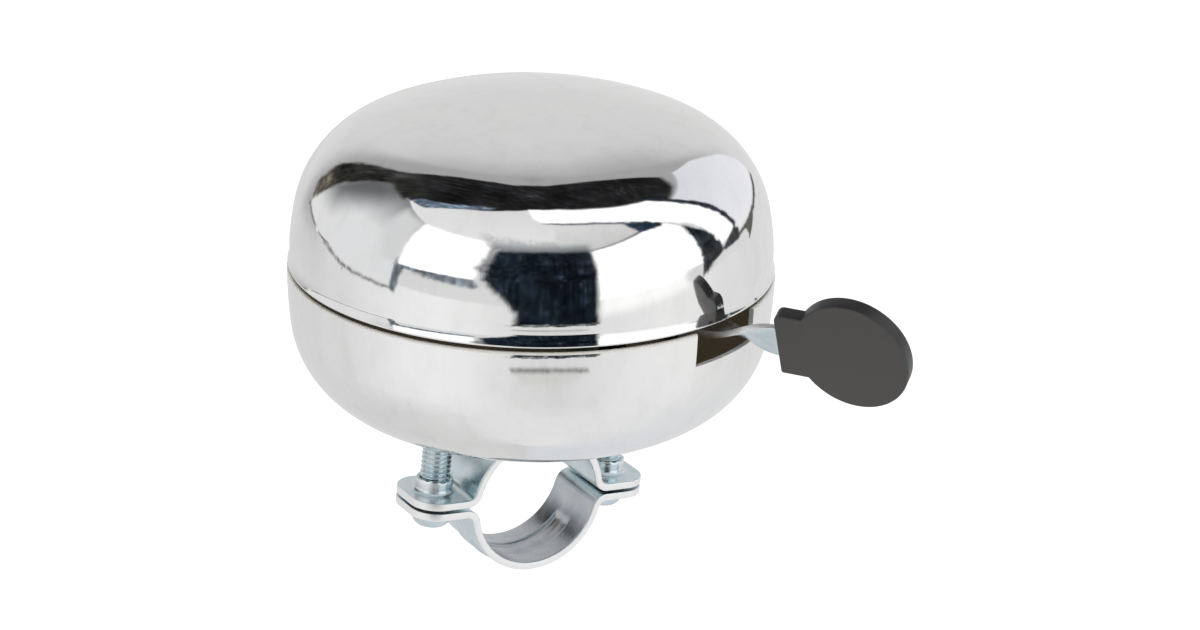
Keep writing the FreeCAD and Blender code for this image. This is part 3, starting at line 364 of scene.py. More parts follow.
# ------------------------------------------------------------------ gongs
def upper_loop():
    """The crowned shell in section. Near the rim the wall turns in a little, then flares out to a rounded lip."""
    a0 = math.radians(4.5)
    outer = [(-8.57 + 48.26 * math.cos(a), SEAM + 0.5 + 48.26 * math.sin(a)) for a in np.linspace(a0, math.radians(11.48), 12)]
    outer += arc(20.524, SEAM + 6.406, 18.576, 11.48, 68.18, 64)[1:]
    outer += arc(0, SEAM - 44.854, 73.79, 68.18, 90, 40)[1:]
    outer[-1] = (0.0, outer[-1][1])
    inner = [(-8.57 + 47.26 * math.cos(a), SEAM + 0.5 + 47.26 * math.sin(a)) for a in np.linspace(math.radians(2.6), math.radians(11.48), 8)]
    inner += arc(20.524, SEAM + 6.406, 17.576, 11.48, 68.18, 40)[1:]
    inner += arc(0, SEAM - 44.854, 72.79, 68.18, 90, 24)[1:]
    inner[-1] = (0.0, inner[-1][1])
    r, z = outer[0]
    rim = []
    # slope of the wall in degrees above level, going down from the wall to the lip
    steps = [(4.5, -6.0, z, SEAM + 2.27, 12), (-6.0, 5.0, SEAM + 2.27, SEAM + 2.15, 5), (5.0, 20.0, SEAM + 2.15, SEAM + 0.50, 14)]
    for n0, n1, z0, z1, count in steps:
        for k in range(count):
            n = n0 + (n1 - n0) * (k + 0.5) / count
            dz = (z0 - z1) / count
            r += math.tan(math.radians(n)) * dz
            z -= dz
            rim.append((r, z))
    cr = 0.32
    cx, cz = r - cr * math.cos(math.radians(20)), SEAM + 0.07 + cr
    rim += [(cx + cr * math.cos(a), cz + cr * math.sin(a)) for a in np.linspace(math.radians(12), -math.pi, 22)]
    last = rim[-1]
    rim += [(last[0] + (inner[0][0] - last[0]) * t, last[1] + (inner[0][1] - last[1]) * t) for t in (0.35, 0.7)]
    return rim, outer, inner


def dress(obj, centre_z, cut):
    """Inside faces of a shell get the dull inside finish; faces on the trimmed edge get the rubbed one."""
    for f in obj.data.polygons:
        c, n = f.center / MM, f.normal
        out = Vector((c.x, c.y, (c.z - centre_z) * 1.2))
        if cut(c, n):
            f.material_index = 2
        elif n.dot(out) < 0:
            f.material_index = 1


rim, outer, inner = upper_loop()
loop = inner[::-1] + rim[::-1] + outer
upper = lathe("upper_gong_shell", loop, 360, CHROME, 50.0)
stand_for(upper, "upper_gong", "gong", (INSIDE, EDGE))
dress(upper, SEAM - 4, lambda c, n: False)


def lower_gong():
    """The lower gong as one closed sheet, with the lever notch left out of the wall."""
    wall, floor_z = 1.0, SEAM - 6.1
    rows = []  # (outer, inner) pairs from the rim down, matched one to one
    top = SEAM - 0.56
    heights = np.linspace(top - 0.34, floor_z, 7)

    def wall_r(z, radius, cx=-41.75):
        return cx + math.sqrt(radius**2 - (SEAM - 0.5 - z) ** 2)
    out_pts = [(wall_r(z, 81.75), z) for z in heights]
    in_pts = [(wall_r(z, 80.95), z) for z in heights]
    notch_rows = len(heights)
    a1, a2 = math.radians(6.55), math.radians(79.57)
    start = math.asin((SEAM - 0.5 - floor_z) / 81.75)
    for a in np.linspace(start, a1, 5)[1:]:
        out_pts.append((-41.75 + 81.75 * math.cos(a), SEAM - 0.5 - 81.75 * math.sin(a)))
    start = math.asin((SEAM - 0.5 - floor_z) / 80.95)
    for a in np.linspace(start, a1, 5)[1:]:
        in_pts.append((-41.75 + 80.95 * math.cos(a), SEAM - 0.5 - 80.95 * math.sin(a)))
    for a in np.linspace(a1, a2, 56)[1:]:
        out_pts.append((22.857 + 16.719 * math.cos(a), SEAM - 7.920 - 16.719 * math.sin(a)))
        in_pts.append((22.857 + 15.919 * math.cos(a), SEAM - 7.920 - 15.919 * math.sin(a)))
    # floor: a flattening curve to the level land round the post
    for t in np.linspace(0, 1, 18)[1:]:
        for pts, (pr, pz), z_end in ((out_pts, (25.883, SEAM - 24.363), SEAM - 26.72),
                                     (in_pts, (25.736, SEAM - 23.577), SEAM - 25.92)):
            p0, p3 = (pr, pz), (9.0, z_end)
            slope = -1 / math.tan(a2)
            p1 = (pr - 5.6, pz + 5.6 * slope)
            p2 = (9.0 + 5.6, z_end)
            b = [(1 - t) ** 3, 3 * t * (1 - t) ** 2, 3 * t * t * (1 - t), t**3]
            pts.append(tuple(sum(w * p[i] for w, p in zip(b, (p0, p1, p2, p3))) for i in (0, 1)))
    out_pts.append((3.2, SEAM - 26.72))
    in_pts.append((3.2, SEAM - 25.92))
    rim = [(39.66 + 0.34 * math.cos(a), top - 0.34 + 0.34 * math.sin(a)) for a in np.radians([18, 36, 54, 72, 90])]
    rim += [(39.42, top), (39.28, top - 0.08)]
    n = len(out_pts)
    half = math.asin(NOTCH_HALF / 39.5)
    notch_columns = 24
    rest = 336
    angles = list(np.linspace(NOTCH_AZ - half, NOTCH_AZ + half, notch_columns + 1))
    angles += list(np.linspace(NOTCH_AZ + half, NOTCH_AZ - half + 2 * math.pi, rest + 1))[1:-1]
    count = len(angles)
    verts, index = [], {}

    def vid(kind, i, j):
        key = (kind, i, j % count)
        if key not in index:
            r, z = {"o": out_pts, "i": in_pts, "r": rim}[kind][i]
            a = angles[j % count]
            index[key] = len(verts)
            verts.append((r * math.cos(a), r * math.sin(a), z))
        return index[key]

    faces = []
    for j in range(count):
        gap = j < notch_columns
        k = j + 1
        first = notch_rows - 1 if gap else 0
        for i in range(first, n - 1):
            faces.append((vid("o", i, j), vid("o", i, k), vid("o", i + 1, k), vid("o", i + 1, j)))
            faces.append((vid("i", i, k), vid("i", i, j), vid("i", i + 1, j), vid("i", i + 1, k)))
        faces.append((vid("o", n - 1, j), vid("o", n - 1, k), vid("i", n - 1, k), vid("i", n - 1, j)))
        if gap:
            faces.append((vid("o", first, k), vid("o", first, j), vid("i", first, j), vid("i", first, k)))
        else:
            faces.append((vid("o", 0, j), vid("r", 0, j), vid("r", 0, k), vid("o", 0, k)))
            for m in range(len(rim) - 1):
                faces.append((vid("r", m, j), vid("r", m + 1, j), vid("r", m + 1, k), vid("r", m, k)))
            faces.append((vid("r", len(rim) - 1, j), vid("i", 0, j), vid("i", 0, k), vid("r", len(rim) - 1, k)))
    for j in (0, notch_columns):
        for i in range(notch_rows - 1):
            faces.append((vid("o", i, j), vid("o", i + 1, j), vid("i", i + 1, j), vid("i", i, j)))
        faces.append([vid("o", 0, j), vid("i", 0, j)] + [vid("r", m, j) for m in range(len(rim) - 1, -1, -1)])
    return new_object("lower_gong_shell", verts, faces, CHROME, 40.0)


def on_cut(c, n):
    """The top of the rim and the three sides of the lever notch."""
    r = math.hypot(c.x - BX, c.y)
    if c.z > SEAM - 1.0 and n.z > 0.03 and r > 38.5:
        return True
    a = math.atan2(c.y, c.x - BX) - NOTCH_AZ
    near = abs(r * math.sin(a)) < NOTCH_HALF + 0.2 and math.cos(a) > 0 and r > 38 and c.z > SEAM - 6.3
    return near and (n.z > 0.9 or abs(n.x * math.cos(math.atan2(c.y, c.x)) + n.y * math.sin(math.atan2(c.y, c.x))) < 0.5)


lower = stand_for(lower_gong(), "lower_gong", "base", (INSIDE, EDGE))
dress(lower, SEAM - 2, on_cut)

# ------------------------------------------------------------------ clamp bands
BAR, T, GAP, WIDTH, REACH, CORNER, SCREW_X = 11.1, 1.3, 0.25, 13.0, 21.8, 4.3, 16.6


def band(name, bend, sign, bead=0.0):
    """A pressed strip: flat ear, bend, half turn over the bar, bend, flat ear, with rolled edges."""
    outer = BAR + T
    knee = GAP + T + bend
    side = math.sqrt((outer + bend) ** 2 - knee**2)
    phi = math.atan2(knee, side)
    mid_r, bend_r = BAR + T / 2, bend + T / 2
    path = []  # x, z, normal x, normal z (away from the bar), bead weight
    tip = [REACH - CORNER * (1 - math.sin(a)) for a in np.linspace(math.pi / 2, 0, 14)]
    flats = tip + list(np.linspace(REACH - CORNER, side, 10))[1:]
    path += [(x, GAP + T / 2, 0.0, 1.0, 0.0) for x in flats]
    for a in np.linspace(-math.pi / 2, -math.pi + phi, 14)[1:]:
        path.append((side + bend_r * math.cos(a), knee + bend_r * math.sin(a), -math.cos(a), -math.sin(a), 0.0))
    for a in np.linspace(phi, math.pi - phi, 96)[1:-1]:
        fade = min(1.0, max(0.0, (min(a, math.pi - a) - math.radians(32)) / math.radians(9)))
        fade = fade * fade * (3 - 2 * fade)
        path.append((mid_r * math.cos(a), mid_r * math.sin(a), math.cos(a), math.sin(a), fade))
    left = [(-x, z, -nx, nz, w) for x, z, nx, nz, w in path[: len(flats) + 13][::-1]]
    path += left
    ys = list(np.linspace(-1, 1, 49))
    e = 0.24
    verts, rings = [], []
    total = len(path)
    for i, (x, z, nx, nz, weight) in enumerate(path):
        ax = abs(x)
        hw = WIDTH / 2 if ax <= REACH - CORNER else WIDTH / 2 - CORNER + math.sqrt(max(CORNER**2 - (ax - REACH + CORNER) ** 2, 0.0))
        ht = T / 2
        ring = []
        inner_hw = hw - e
        top = [(u * inner_hw, ht) for u in ys]
        right = [(inner_hw + e * math.sin(a), ht - e + e * math.cos(a)) for a in np.linspace(0, math.pi / 2, 5)[1:]]
        right += [(inner_hw + e * math.cos(a), -ht + e - e * math.sin(a)) for a in np.linspace(0, math.pi / 2, 5)]
        bottom = [(-u * inner_hw, -ht) for u in ys][1:]
        lefts = [(-inner_hw - e * math.sin(a), -ht + e - e * math.cos(a)) for a in np.linspace(0, math.pi / 2, 5)[1:]]
        lefts += [(-inner_hw - e * math.cos(a), ht - e + e * math.sin(a)) for a in np.linspace(0, math.pi / 2, 5)][:-1]
        for y, h in top + right + bottom + lefts:
            d = max(0.0, min(1.0, (2.35 - abs(y)) / 0.5))
            d = d * d * (3 - 2 * d) * bead * weight
            # the middle of the bead dips back a little, which leaves the double line seen on pressed straps
            d *= 1.0 - 0.35 * math.exp(-((y / 0.9) ** 2))
            off = h + d
            ring.append(len(verts))
            verts.append((x + nx * off, y, sign * (z + nz * off)))
        rings.append(ring)
    m = len(rings[0])
    faces = [(rings[i][j], rings[i][(j + 1) % m], rings[i + 1][(j + 1) % m], rings[i + 1][j])
             for i in range(total - 1) for j in range(m)]
    # rounded ear tips: one smaller ring at each end, then a cap
    for end, first in ((0, True), (total - 1, False)):
        ring = rings[end]
        cx = verts[ring[0]][0]
        out = 1 if cx > 0 else -1
        base = list(ring)
        for shrink, push in ((0.06, 0.0),):
            nxt = []
            for vi in base:
                x, y, z = verts[vi]
                nxt.append(len(verts))
                verts.append((x + out * push, y * 0.97, sign * (GAP + T / 2) + (z - sign * (GAP + T / 2)) * (1 - shrink)))
            faces += [(base[j], base[(j + 1) % m], nxt[(j + 1) % m], nxt[j]) for j in range(m)]
            base = nxt
        faces.append(tuple(base))
    return new_object(name, verts, faces, ZINC, 40.0)


def collar(x, name):
    """The rim of metal drawn up round the screw hole, with an uneven torn top."""
    seg = 72
    z0, top = GAP + T - 0.6, GAP + T + 2.3
    loop = [(0, z0), (3.95, z0), (3.95, GAP + T - 0.02)]
    loop += [(3.05 + 0.9 - 0.9 * math.sin(a), GAP + T - 0.02 + 0.9 - 0.9 * math.cos(a)) for a in np.linspace(0.05, math.pi / 2, 8)]
    loop += [(3.07, z) for z in np.linspace(GAP + T + 1.1, top - 0.35, 5)]
    loop += [(3.03, top - 0.12), (2.94, top), (2.75, top + 0.02), (0, top)]
    obj = lathe(name, loop, seg, centre=(x, 0))
    rough = {}
    for v in obj.data.vertices:
        z = v.co.z / MM
        if z > top - 0.5:
            a = math.atan2(v.co.y / MM, v.co.x / MM - x)
            key = round(a, 3)
            if key not in rough:
                rough[key] = 0.10 * math.sin(3 * a + x) + 0.07 * math.sin(7 * a + 1.3 * x) + 0.05 * math.sin(13 * a)
            if abs(v.co.x / MM - x) + abs(v.co.y) > 1e-6:
                v.co.z += rough[key] * MM * (z - top + 0.5) / 0.5
    return obj


saddle = band("clamp_saddle_band", 1.4, 1)
strap = band("clamp_strap_band", 1.3, -1, bead=0.35)
for x in (-SCREW_X, SCREW_X):
    boolean(saddle, collar(x, "collar_tool"), "UNION")
    boolean(saddle, cylinder("bore_tool", 2.57, -1, 6, (x, 0)), "DIFFERENCE")
    boolean(strap, cylinder("hole_tool", 2.75, -4, 2, (x, 0)), "DIFFERENCE")
swage_tool = lathe("swage_tool", [(0, 9.0), (3.8, 9.0), (3.8, 11.2), (3.0, 11.65), (3.0, 14.0), (0, 14.0)], 64)
swage_tool.data.transform(Matrix.Rotation(-TILT, 4, "Y") @ Matrix.Translation((BX * MM, 0, 0)))
boolean(saddle, swage_tool, "DIFFERENCE")
for o in (saddle, strap):
    tidy(o, 38.0, 1e-7)
    marks = []
    for f in o.data.polygons:
        c, n = f.center, f.normal
        radial = Vector((c.x, 0, c.z))
        if abs(n.y) > 0.6 and abs(c.y) > 0.6 * WIDTH / 2 * MM or (abs(c.x) > (REACH - CORNER) * MM and abs(n.z) < 0.5):
            marks.append(1)
        elif o is strap and radial.length < (BAR + 0.9) * MM and n.dot(radial) < 0 and c.z < -1.5 * MM:
            marks.append(2)
        else:
            marks.append(0)
    o["marks"] = marks
for o, node, body in ((saddle, "clamp_saddle", "base"), (strap, "clamp_strap", "strap")):
    marks = list(o["marks"])
    del o["marks"]
    stand_for(o, node, body, (SHEARED, WORN))
    for f, m in zip(o.data.polygons, marks):
        f.material_index = m


# ------------------------------------------------------------------ threaded pieces
def thread_rings(major, pitch, z0, z1, columns=60, step=0.05, depth=None, taper=0.7, taper_low=0.0, phase=0.0):
    """Rings of a right-hand 60 degree thread between two heights, as rows of (x, y, z)."""
    depth = depth or 0.6134 * pitch
    rows = []
    count = int((z1 - z0) / step)
    for i in range(count + 1):
        z = z0 + (z1 - z0) * i / count
        fade = 1.0
        if taper and z > z1 - taper:
            fade = (z1 - z) / taper
        low = min(1.0, (z - z0) / taper_low) if taper_low else 1.0
        row = []
        for j in range(columns):
            a = 2 * math.pi * j / columns
            p = ((z - z0) / pitch - a / (2 * math.pi) + phase) % 1.0
            t = abs(p - 0.5) * 2  # 0 at the crest, 1 at the root
            cut = min(1.0, max(0.0, (t - 0.125) / 0.70))
            cut = cut * cut * (3 - 2 * cut) * 0.35 + cut * 0.65
            r = major - depth * (1 - (1 - cut) * 1.0) * low
            r = min(r, major - depth * (1 - fade) * 0.95)
            row.append((r * math.cos(a), r * math.sin(a), z))
        rows.append(row)
    return rows


def threaded(name, below, rows, above, centre=(0, 0), mat=ZINC, sharp=60.0):
    """A turned start (list of radius, height from the axis out), threaded rows, then a turned end back to the axis."""
    columns = len(rows[0])
    angles = [2 * math.pi * j / columns for j in range(columns)]
    rings, verts = [], []

    def ring_of(points):
        rings.append(list(range(len(verts), len(verts) + len(points))))
        verts.extend((x + centre[0], y + centre[1], z) for x, y, z in points)

    for r, z in below:
        ring_of([(0, 0, z)] if r < 1e-9 else [(r * math.cos(a), r * math.sin(a), z) for a in angles])
    for row in rows:
        ring_of(row)
    for r, z in above:
        ring_of([(0, 0, z)] if r < 1e-9 else [(r * math.cos(a), r * math.sin(a), z) for a in angles])
    faces = []
    for a, b in zip(rings, rings[1:]):
        for j in range(columns):
            k = (j + 1) % columns
            if len(a) == 1:
                faces.append((a[0], b[j], b[k]))
            elif len(b) == 1:
                faces.append((a[j], b[0], a[k]))
            else:
                faces.append((a[j], b[j], b[k], a[k]))
    return new_object(name, verts, faces, mat, sharp)


def cross_tool(x, seat, depth=1.3):
    """A tapered cross driver recess, as one closed star-shaped block."""
    def ring(span, slot, z):
        s, w = span, slot
        return [(s, -w), (s, w), (w, w), (w, s), (-w, s), (-w, w), (-s, w), (-s, -w), (-w, -w), (-w, -s), (w, -s), (w, -w)], z
    levels = [ring(2.0, 0.48, seat - 0.3), ring(1.92, 0.46, seat + 0.05), ring(1.1, 0.32, seat + depth)]
    verts, faces = [], []
    for pts, z in levels:
        verts += [(x + a, b, z) for a, b in pts]
    for i in range(2):
        faces += [(i * 12 + j, i * 12 + (j + 1) % 12, (i + 1) * 12 + (j + 1) % 12, (i + 1) * 12 + j) for j in range(12)]
    faces.append(tuple(range(12)))
    faces.append(tuple(range(24, 36)))
    return new_object("cross_tool", verts, faces)


SEAT = -(GAP + T) - 0.03
for name, x, body, node, phase in (("left_screw_piece", -SCREW_X, "left_screw", "left_clamp_screw", 0.2),
                                   ("right_screw_piece", SCREW_X, "right_screw", "right_clamp_screw", 0.65)):
    head = [(r, SEAT - h) for r, h in ((0.0, 3.1), (0.8, 3.09), (1.5, 3.06), (2.0, 2.97), (2.45, 2.78), (2.82, 2.48), (3.1, 2.1), (3.28, 1.7),
                                       (3.42, 1.25), (3.58, 0.85))]
    head += [(3.67, SEAT - 0.6), (3.7, SEAT - 0.42), (3.66, SEAT - 0.24), (3.5, SEAT - 0.08), (3.3, SEAT),
             (2.9, SEAT), (2.55, SEAT + 0.04)]
    rows = thread_rings(2.5, 0.8, SEAT + 0.25, SEAT + 13.4, phase=phase, taper_low=0.5)
    piece = threaded(name, head, rows, [(1.2, SEAT + 13.4), (0.0, SEAT + 13.4)], (x, 0))
    boolean(piece, cross_tool(x, SEAT - 3.1), "DIFFERENCE")
    tidy(piece, 42.0, 1e-7)
    stand_for(piece, node, body)

# centre post: plain swaged foot, threaded from the base nut up
rows = thread_rings(3.0, 1.0, 15.0, 66.8, taper_low=0.8, step=0.08)
post = threaded("centre_post_piece", [(0, 11.12), (3.74, 11.12), (3.8, 11.15), (3.8, 11.2), (3.0, 11.65), (3.0, 13.5)], rows, [(1.4, 66.8), (0, 66.8)])
stand_for(post, "centre_post", "base")


# ------------------------------------------------------------------ thumb lever
O, H, LZ, LT = -5.1, 3.0, 36.2, 1.2
TWIST, T0, T1, TONGUE = math.radians(-64.3), 34.8, 45.4, 56.0


def tooth(teeth, centre, module=0.8, pressure=25.0, addendum=0.64, dedendum=0.88, backlash=0.16, steps=6):
    pitch = module * teeth / 2
    base = pitch * math.cos(math.radians(pressure))
    tip, foot = pitch + addendum, pitch - dedendum
    half = (math.pi * module / 2 - backlash / 2) / 2 / pitch

    def inv(r):
        a = math.acos(min(1.0, base / r))
        return math.tan(a) - a
    start = max(base, foot)
    radii = [start + (tip - start) * k / (steps - 1) for k in range(steps)]
    right = [(r, centre - (half + inv(pitch) - inv(r))) for r in radii]
    left = [(r, centre + (half + inv(pitch) - inv(r))) for r in reversed(radii)]
    if foot < base:
        right.insert(0, (foot, right[0][1]))
        left.append((foot, left[-1][1]))
    return [(r * math.cos(a), r * math.sin(a)) for r, a in right + left]


def lever_outline():
    step = 2 * math.pi / 40
    aim = math.radians(175.0)
    pts = []
    first, last = aim - 2.75 * step, aim + 4.75 * step
    foot = 16 - 0.88
    pts.append((foot * math.cos(first), foot * math.sin(first)))
    for k in range(-2, 5):
        pts += tooth(40, aim + k * step)
    pts.append((foot * math.cos(last), foot * math.sin(last)))
    pts.append((9.6 * math.cos(last + 0.14), 9.6 * math.sin(last + 0.14)))
    # round the hub to the arm, out to the end of the arm and back
    a0 = last + 0.35
    a1 = math.atan2(-math.sqrt(8.2**2 - 0.6**2), 0.6) + 2 * math.pi
    pts += [(8.2 * math.cos(a), 8.2 * math.sin(a)) for a in np.linspace(a0, a1, 12)]
    pts += [(1.6, O - H)] if False else []
    pts += [(2.4, O - H), (TONGUE, O - H), (TONGUE, O + H), (13.0, O + H)]
    cx, cy, r = None, None, 9.0
    p, q_ = np.array([13.0, O + H]), np.array([7.0, 3.2])
    mid, chord = (p + q_) / 2, np.linalg.norm(q_ - p)
    d = (q_ - p) / chord
    nrm = np.array([-d[1], d[0]]) * -1
    c = mid + nrm * math.sqrt(r * r - chord * chord / 4)
    ta, tb = math.atan2(*(p - c)[::-1]), math.atan2(*(q_ - c)[::-1])
    if tb > ta:
        tb -= 2 * math.pi
    pts += [(c[0] + r * math.cos(t), c[1] + r * math.sin(t)) for t in np.linspace(ta, tb, 8)[1:]]
    b0 = math.atan2(3.2, 7.0)
    b1 = first - 0.30
    pts += [(8.2 * math.cos(a), 8.2 * math.sin(a)) for a in np.linspace(b0 + 0.12, b1, 14)]
    pts.append((9.8 * math.cos(first - 0.12), 9.8 * math.sin(first - 0.12)))
    return pts


def lever_piece():
    outline = lever_outline()
    bm = bmesh.new()
    low = [bm.verts.new((x * MM, y * MM, LZ * MM)) for x, y in outline]
    face = bm.faces.new(low)
    out = bmesh.ops.extrude_face_region(bm, geom=[face])
    moved = [g for g in out["geom"] if isinstance(g, bmesh.types.BMVert)]
    bmesh.ops.translate(bm, verts=moved, vec=(0, 0, LT * MM))
    bmesh.ops.recalc_face_normals(bm, faces=bm.faces)
    edges = [e for e in bm.edges if abs(e.verts[0].co.z - e.verts[1].co.z) < 1e-9]
    bmesh.ops.bevel(bm, geom=edges, offset=0.16 * MM, segments=3, profile=0.5, affect="EDGES", clamp_overlap=True)
    cuts = list(np.arange(14.0, T0, 2.5)) + list(np.arange(T0, T1 + 0.01, 0.4)) + list(np.arange(T1 + 1, TONGUE, 1.5))
    for s in cuts:
        bmesh.ops.bisect_plane(bm, geom=list(bm.verts) + list(bm.edges) + list(bm.faces), dist=1e-8,
                               plane_co=(s * MM, 0, 0), plane_no=(1, 0, 0))
    for o in (-2.0, -1.0, 0.0, 1.0, 2.0):
        # lengthwise cuts only where the strip twists
        geom = [f for f in bm.faces if min(v.co.x for v in f.verts) > (T0 - 3) * MM]
        geo = list({v for f in geom for v in f.verts}) + list({e for f in geom for e in f.edges}) + geom
        bmesh.ops.bisect_plane(bm, geom=geo, dist=1e-8, plane_co=(0, (O + o) * MM, 0), plane_no=(0, 1, 0))
    mid = (LZ + LT / 2) * MM
    for v in bm.verts:
        s = v.co.x / MM
        if s <= T0:
            continue
        t = min(1.0, (s - T0) / (T1 - T0))
        a = TWIST * t * t * (3 - 2 * t)
        y, z = v.co.y - O * MM, v.co.z - mid
        v.co.y = O * MM + y * math.cos(a) - z * math.sin(a)
        v.co.z = mid + y * math.sin(a) + z * math.cos(a)
    bmesh.ops.transform(bm, matrix=Matrix.Rotation(LEVER_AZ, 4, "Z"), verts=bm.verts)
    mesh = bpy.data.meshes.new("thumb_lever_piece")
    bm.to_mesh(mesh)
    bm.free()
    obj = bpy.data.objects.new("thumb_lever_piece", mesh)
    bpy.context.scene.collection.objects.link(obj)
    boolean(obj, cylinder("lever_bore_tool", 4.05, 34, 40, segments=96), "DIFFERENCE")
    cx, cy = 12.6, O + 0.4
    c, s = math.cos(LEVER_AZ), math.sin(LEVER_AZ)
    boolean(obj, cylinder("catch_tool", 0.8, 34, 40, (c * cx - s * cy, s * cx + c * cy), 32), "DIFFERENCE")
    tidy(obj, 40.0, 1e-7)
    return obj


lever = stand_for(lever_piece(), "thumb_lever", "lever", (SHEARED,))
turn_back = Matrix.Rotation(-LEVER_AZ, 3, "Z")
for face in lever.data.polygons:
    # the sheared edges of the strip, found after taking the twist back out
    c = turn_back @ (face.center - Vector((BX * MM, 0, 0)))
    n = turn_back @ face.normal
    s = c.x / MM
    t = min(1.0, max(0.0, (s - T0) / (T1 - T0)))
    a = TWIST * t * t * (3 - 2 * t)
    if s > 20 and abs(n.z * math.cos(a) - n.y * math.sin(a)) < 0.75:
        face.material_index = 1

# ------------------------------------------------------------------ thumb pad
PAD_S, PAD_O, RX, RY, PT, NR, NH = 57.8, -4.75, 9.45, 10.95, 2.5, 12.3, 6.4


def pad_piece():
    start = math.asin(NH / RY)
    oval = [(RX * math.cos(a), RY * math.sin(a)) for a in np.linspace(-(math.pi - start), math.pi - start, 121)]

    def corner(p, a, b, r, n=5):
        """A rounded corner at p between directions to a and b."""
        p, a, b = map(np.array, (p, a, b))
        u, w = (a - p) / np.linalg.norm(a - p), (b - p) / np.linalg.norm(b - p)
        half = math.acos(float(np.clip(u @ w, -1, 1))) / 2
        d = r / math.tan(half)
        s, e = p + u * d, p + w * d
        c = p + (u + w) / np.linalg.norm(u + w) * r / math.sin(half)
        ts, te = math.atan2(*(s - c)[::-1]), math.atan2(*(e - c)[::-1])
        while te - ts > math.pi:
            te -= 2 * math.pi
        while te - ts < -math.pi:
            te += 2 * math.pi
        return [(c[0] + r * math.cos(t), c[1] + r * math.sin(t)) for t in np.linspace(ts, te, n)]
    top_join, low_join = oval[-1], oval[0]
    a, b = (-NR, NH), (-NR, -NH)
    pts = list(oval)
    pts += [(top_join[0] + (a[0] - top_join[0]) * t, NH) for t in (0.3, 0.6)]
    pts += corner(a, top_join, b, 0.4)
    pts += [(-NR, NH + (-2 * NH) * t) for t in (0.25, 0.5, 0.75)]
    pts += corner(b, a, low_join, 1.3, 9)
    pts += [(b[0] + (low_join[0] - b[0]) * t, -NH) for t in (0.4, 0.7)]
    pts = np.array(pts)
    n = len(pts)
    tang = np.roll(pts, -1, 0) - np.roll(pts, 1, 0)
    tang /= np.linalg.norm(tang, axis=1)[:, None]
    normal = np.c_[tang[:, 1], -tang[:, 0]]
    if ((pts * normal).sum(1)).mean() < 0:
        normal = -normal
    e = 0.26
    rings = [(e - e * math.sin(a), PT / 2 - e + e * math.cos(a)) for a in np.linspace(0, math.pi / 2, 6)]
    rings += [(0.0, 0.0)]
    rings += [(e - e * math.sin(a), -(PT / 2 - e + e * math.cos(a))) for a in np.linspace(math.pi / 2, 0, 6)]
    verts, loops = [], []
    for inset, h in rings:
        p = pts - normal * inset
        loops.append(list(range(len(verts), len(verts) + n)))
        verts += [(x, y, h) for x, y in p]
    faces = [(loops[i][j], loops[i][(j + 1) % n], loops[i + 1][(j + 1) % n], loops[i + 1][j])
             for i in range(len(loops) - 1) for j in range(n)]
    faces.append(tuple(loops[0]))
    faces.append(tuple(loops[-1]))
    obj = new_object("thumb_pad_piece", verts, faces, PLASTIC, 40.0)
    shift = O - PAD_O
    dy, dz = shift * math.cos(TWIST), -shift * math.sin(TWIST)
    x0, x1 = -NR - 1, TONGUE - PAD_S + 0.05
    y0, y1, z0, z1 = dy - H - 0.02, dy + H + 0.02, dz - LT / 2 - 0.02, dz + LT / 2 + 0.02
    slot = new_object("slot_tool", [(x, y, z) for x in (x0, x1) for y in (y0, y1) for z in (z0, z1)],
                      [(0, 1, 3, 2), (4, 6, 7, 5), (0, 4, 5, 1), (2, 3, 7, 6), (0, 2, 6, 4), (1, 5, 7, 3)])
    boolean(obj, slot, "DIFFERENCE")
    place = (Matrix.Rotation(LEVER_AZ, 4, "Z") @ Matrix.Translation(Vector((PAD_S, PAD_O, LZ + LT / 2)) * MM)
             @ Matrix.Rotation(TWIST, 4, "X"))
    obj.data.transform(place)
    tidy(obj, 40.0, 1e-7)
    return obj


pad_obj = pad_piece()
face_n = (Matrix.Rotation(LEVER_AZ, 3, "Z") @ Matrix.Rotation(TWIST, 3, "X")) @ Vector((0, 0, 1))
stand_for(pad_obj, "thumb_pad", "lever", (PLASTIC_SIDE_SHADE,))
# faces along the pad's thickness get the darker copy: painted shade on the pad's sides
for f in pad_obj.data.polygons:
    if abs(f.normal.dot(face_n)) < 0.2:
        f.material_index = 1


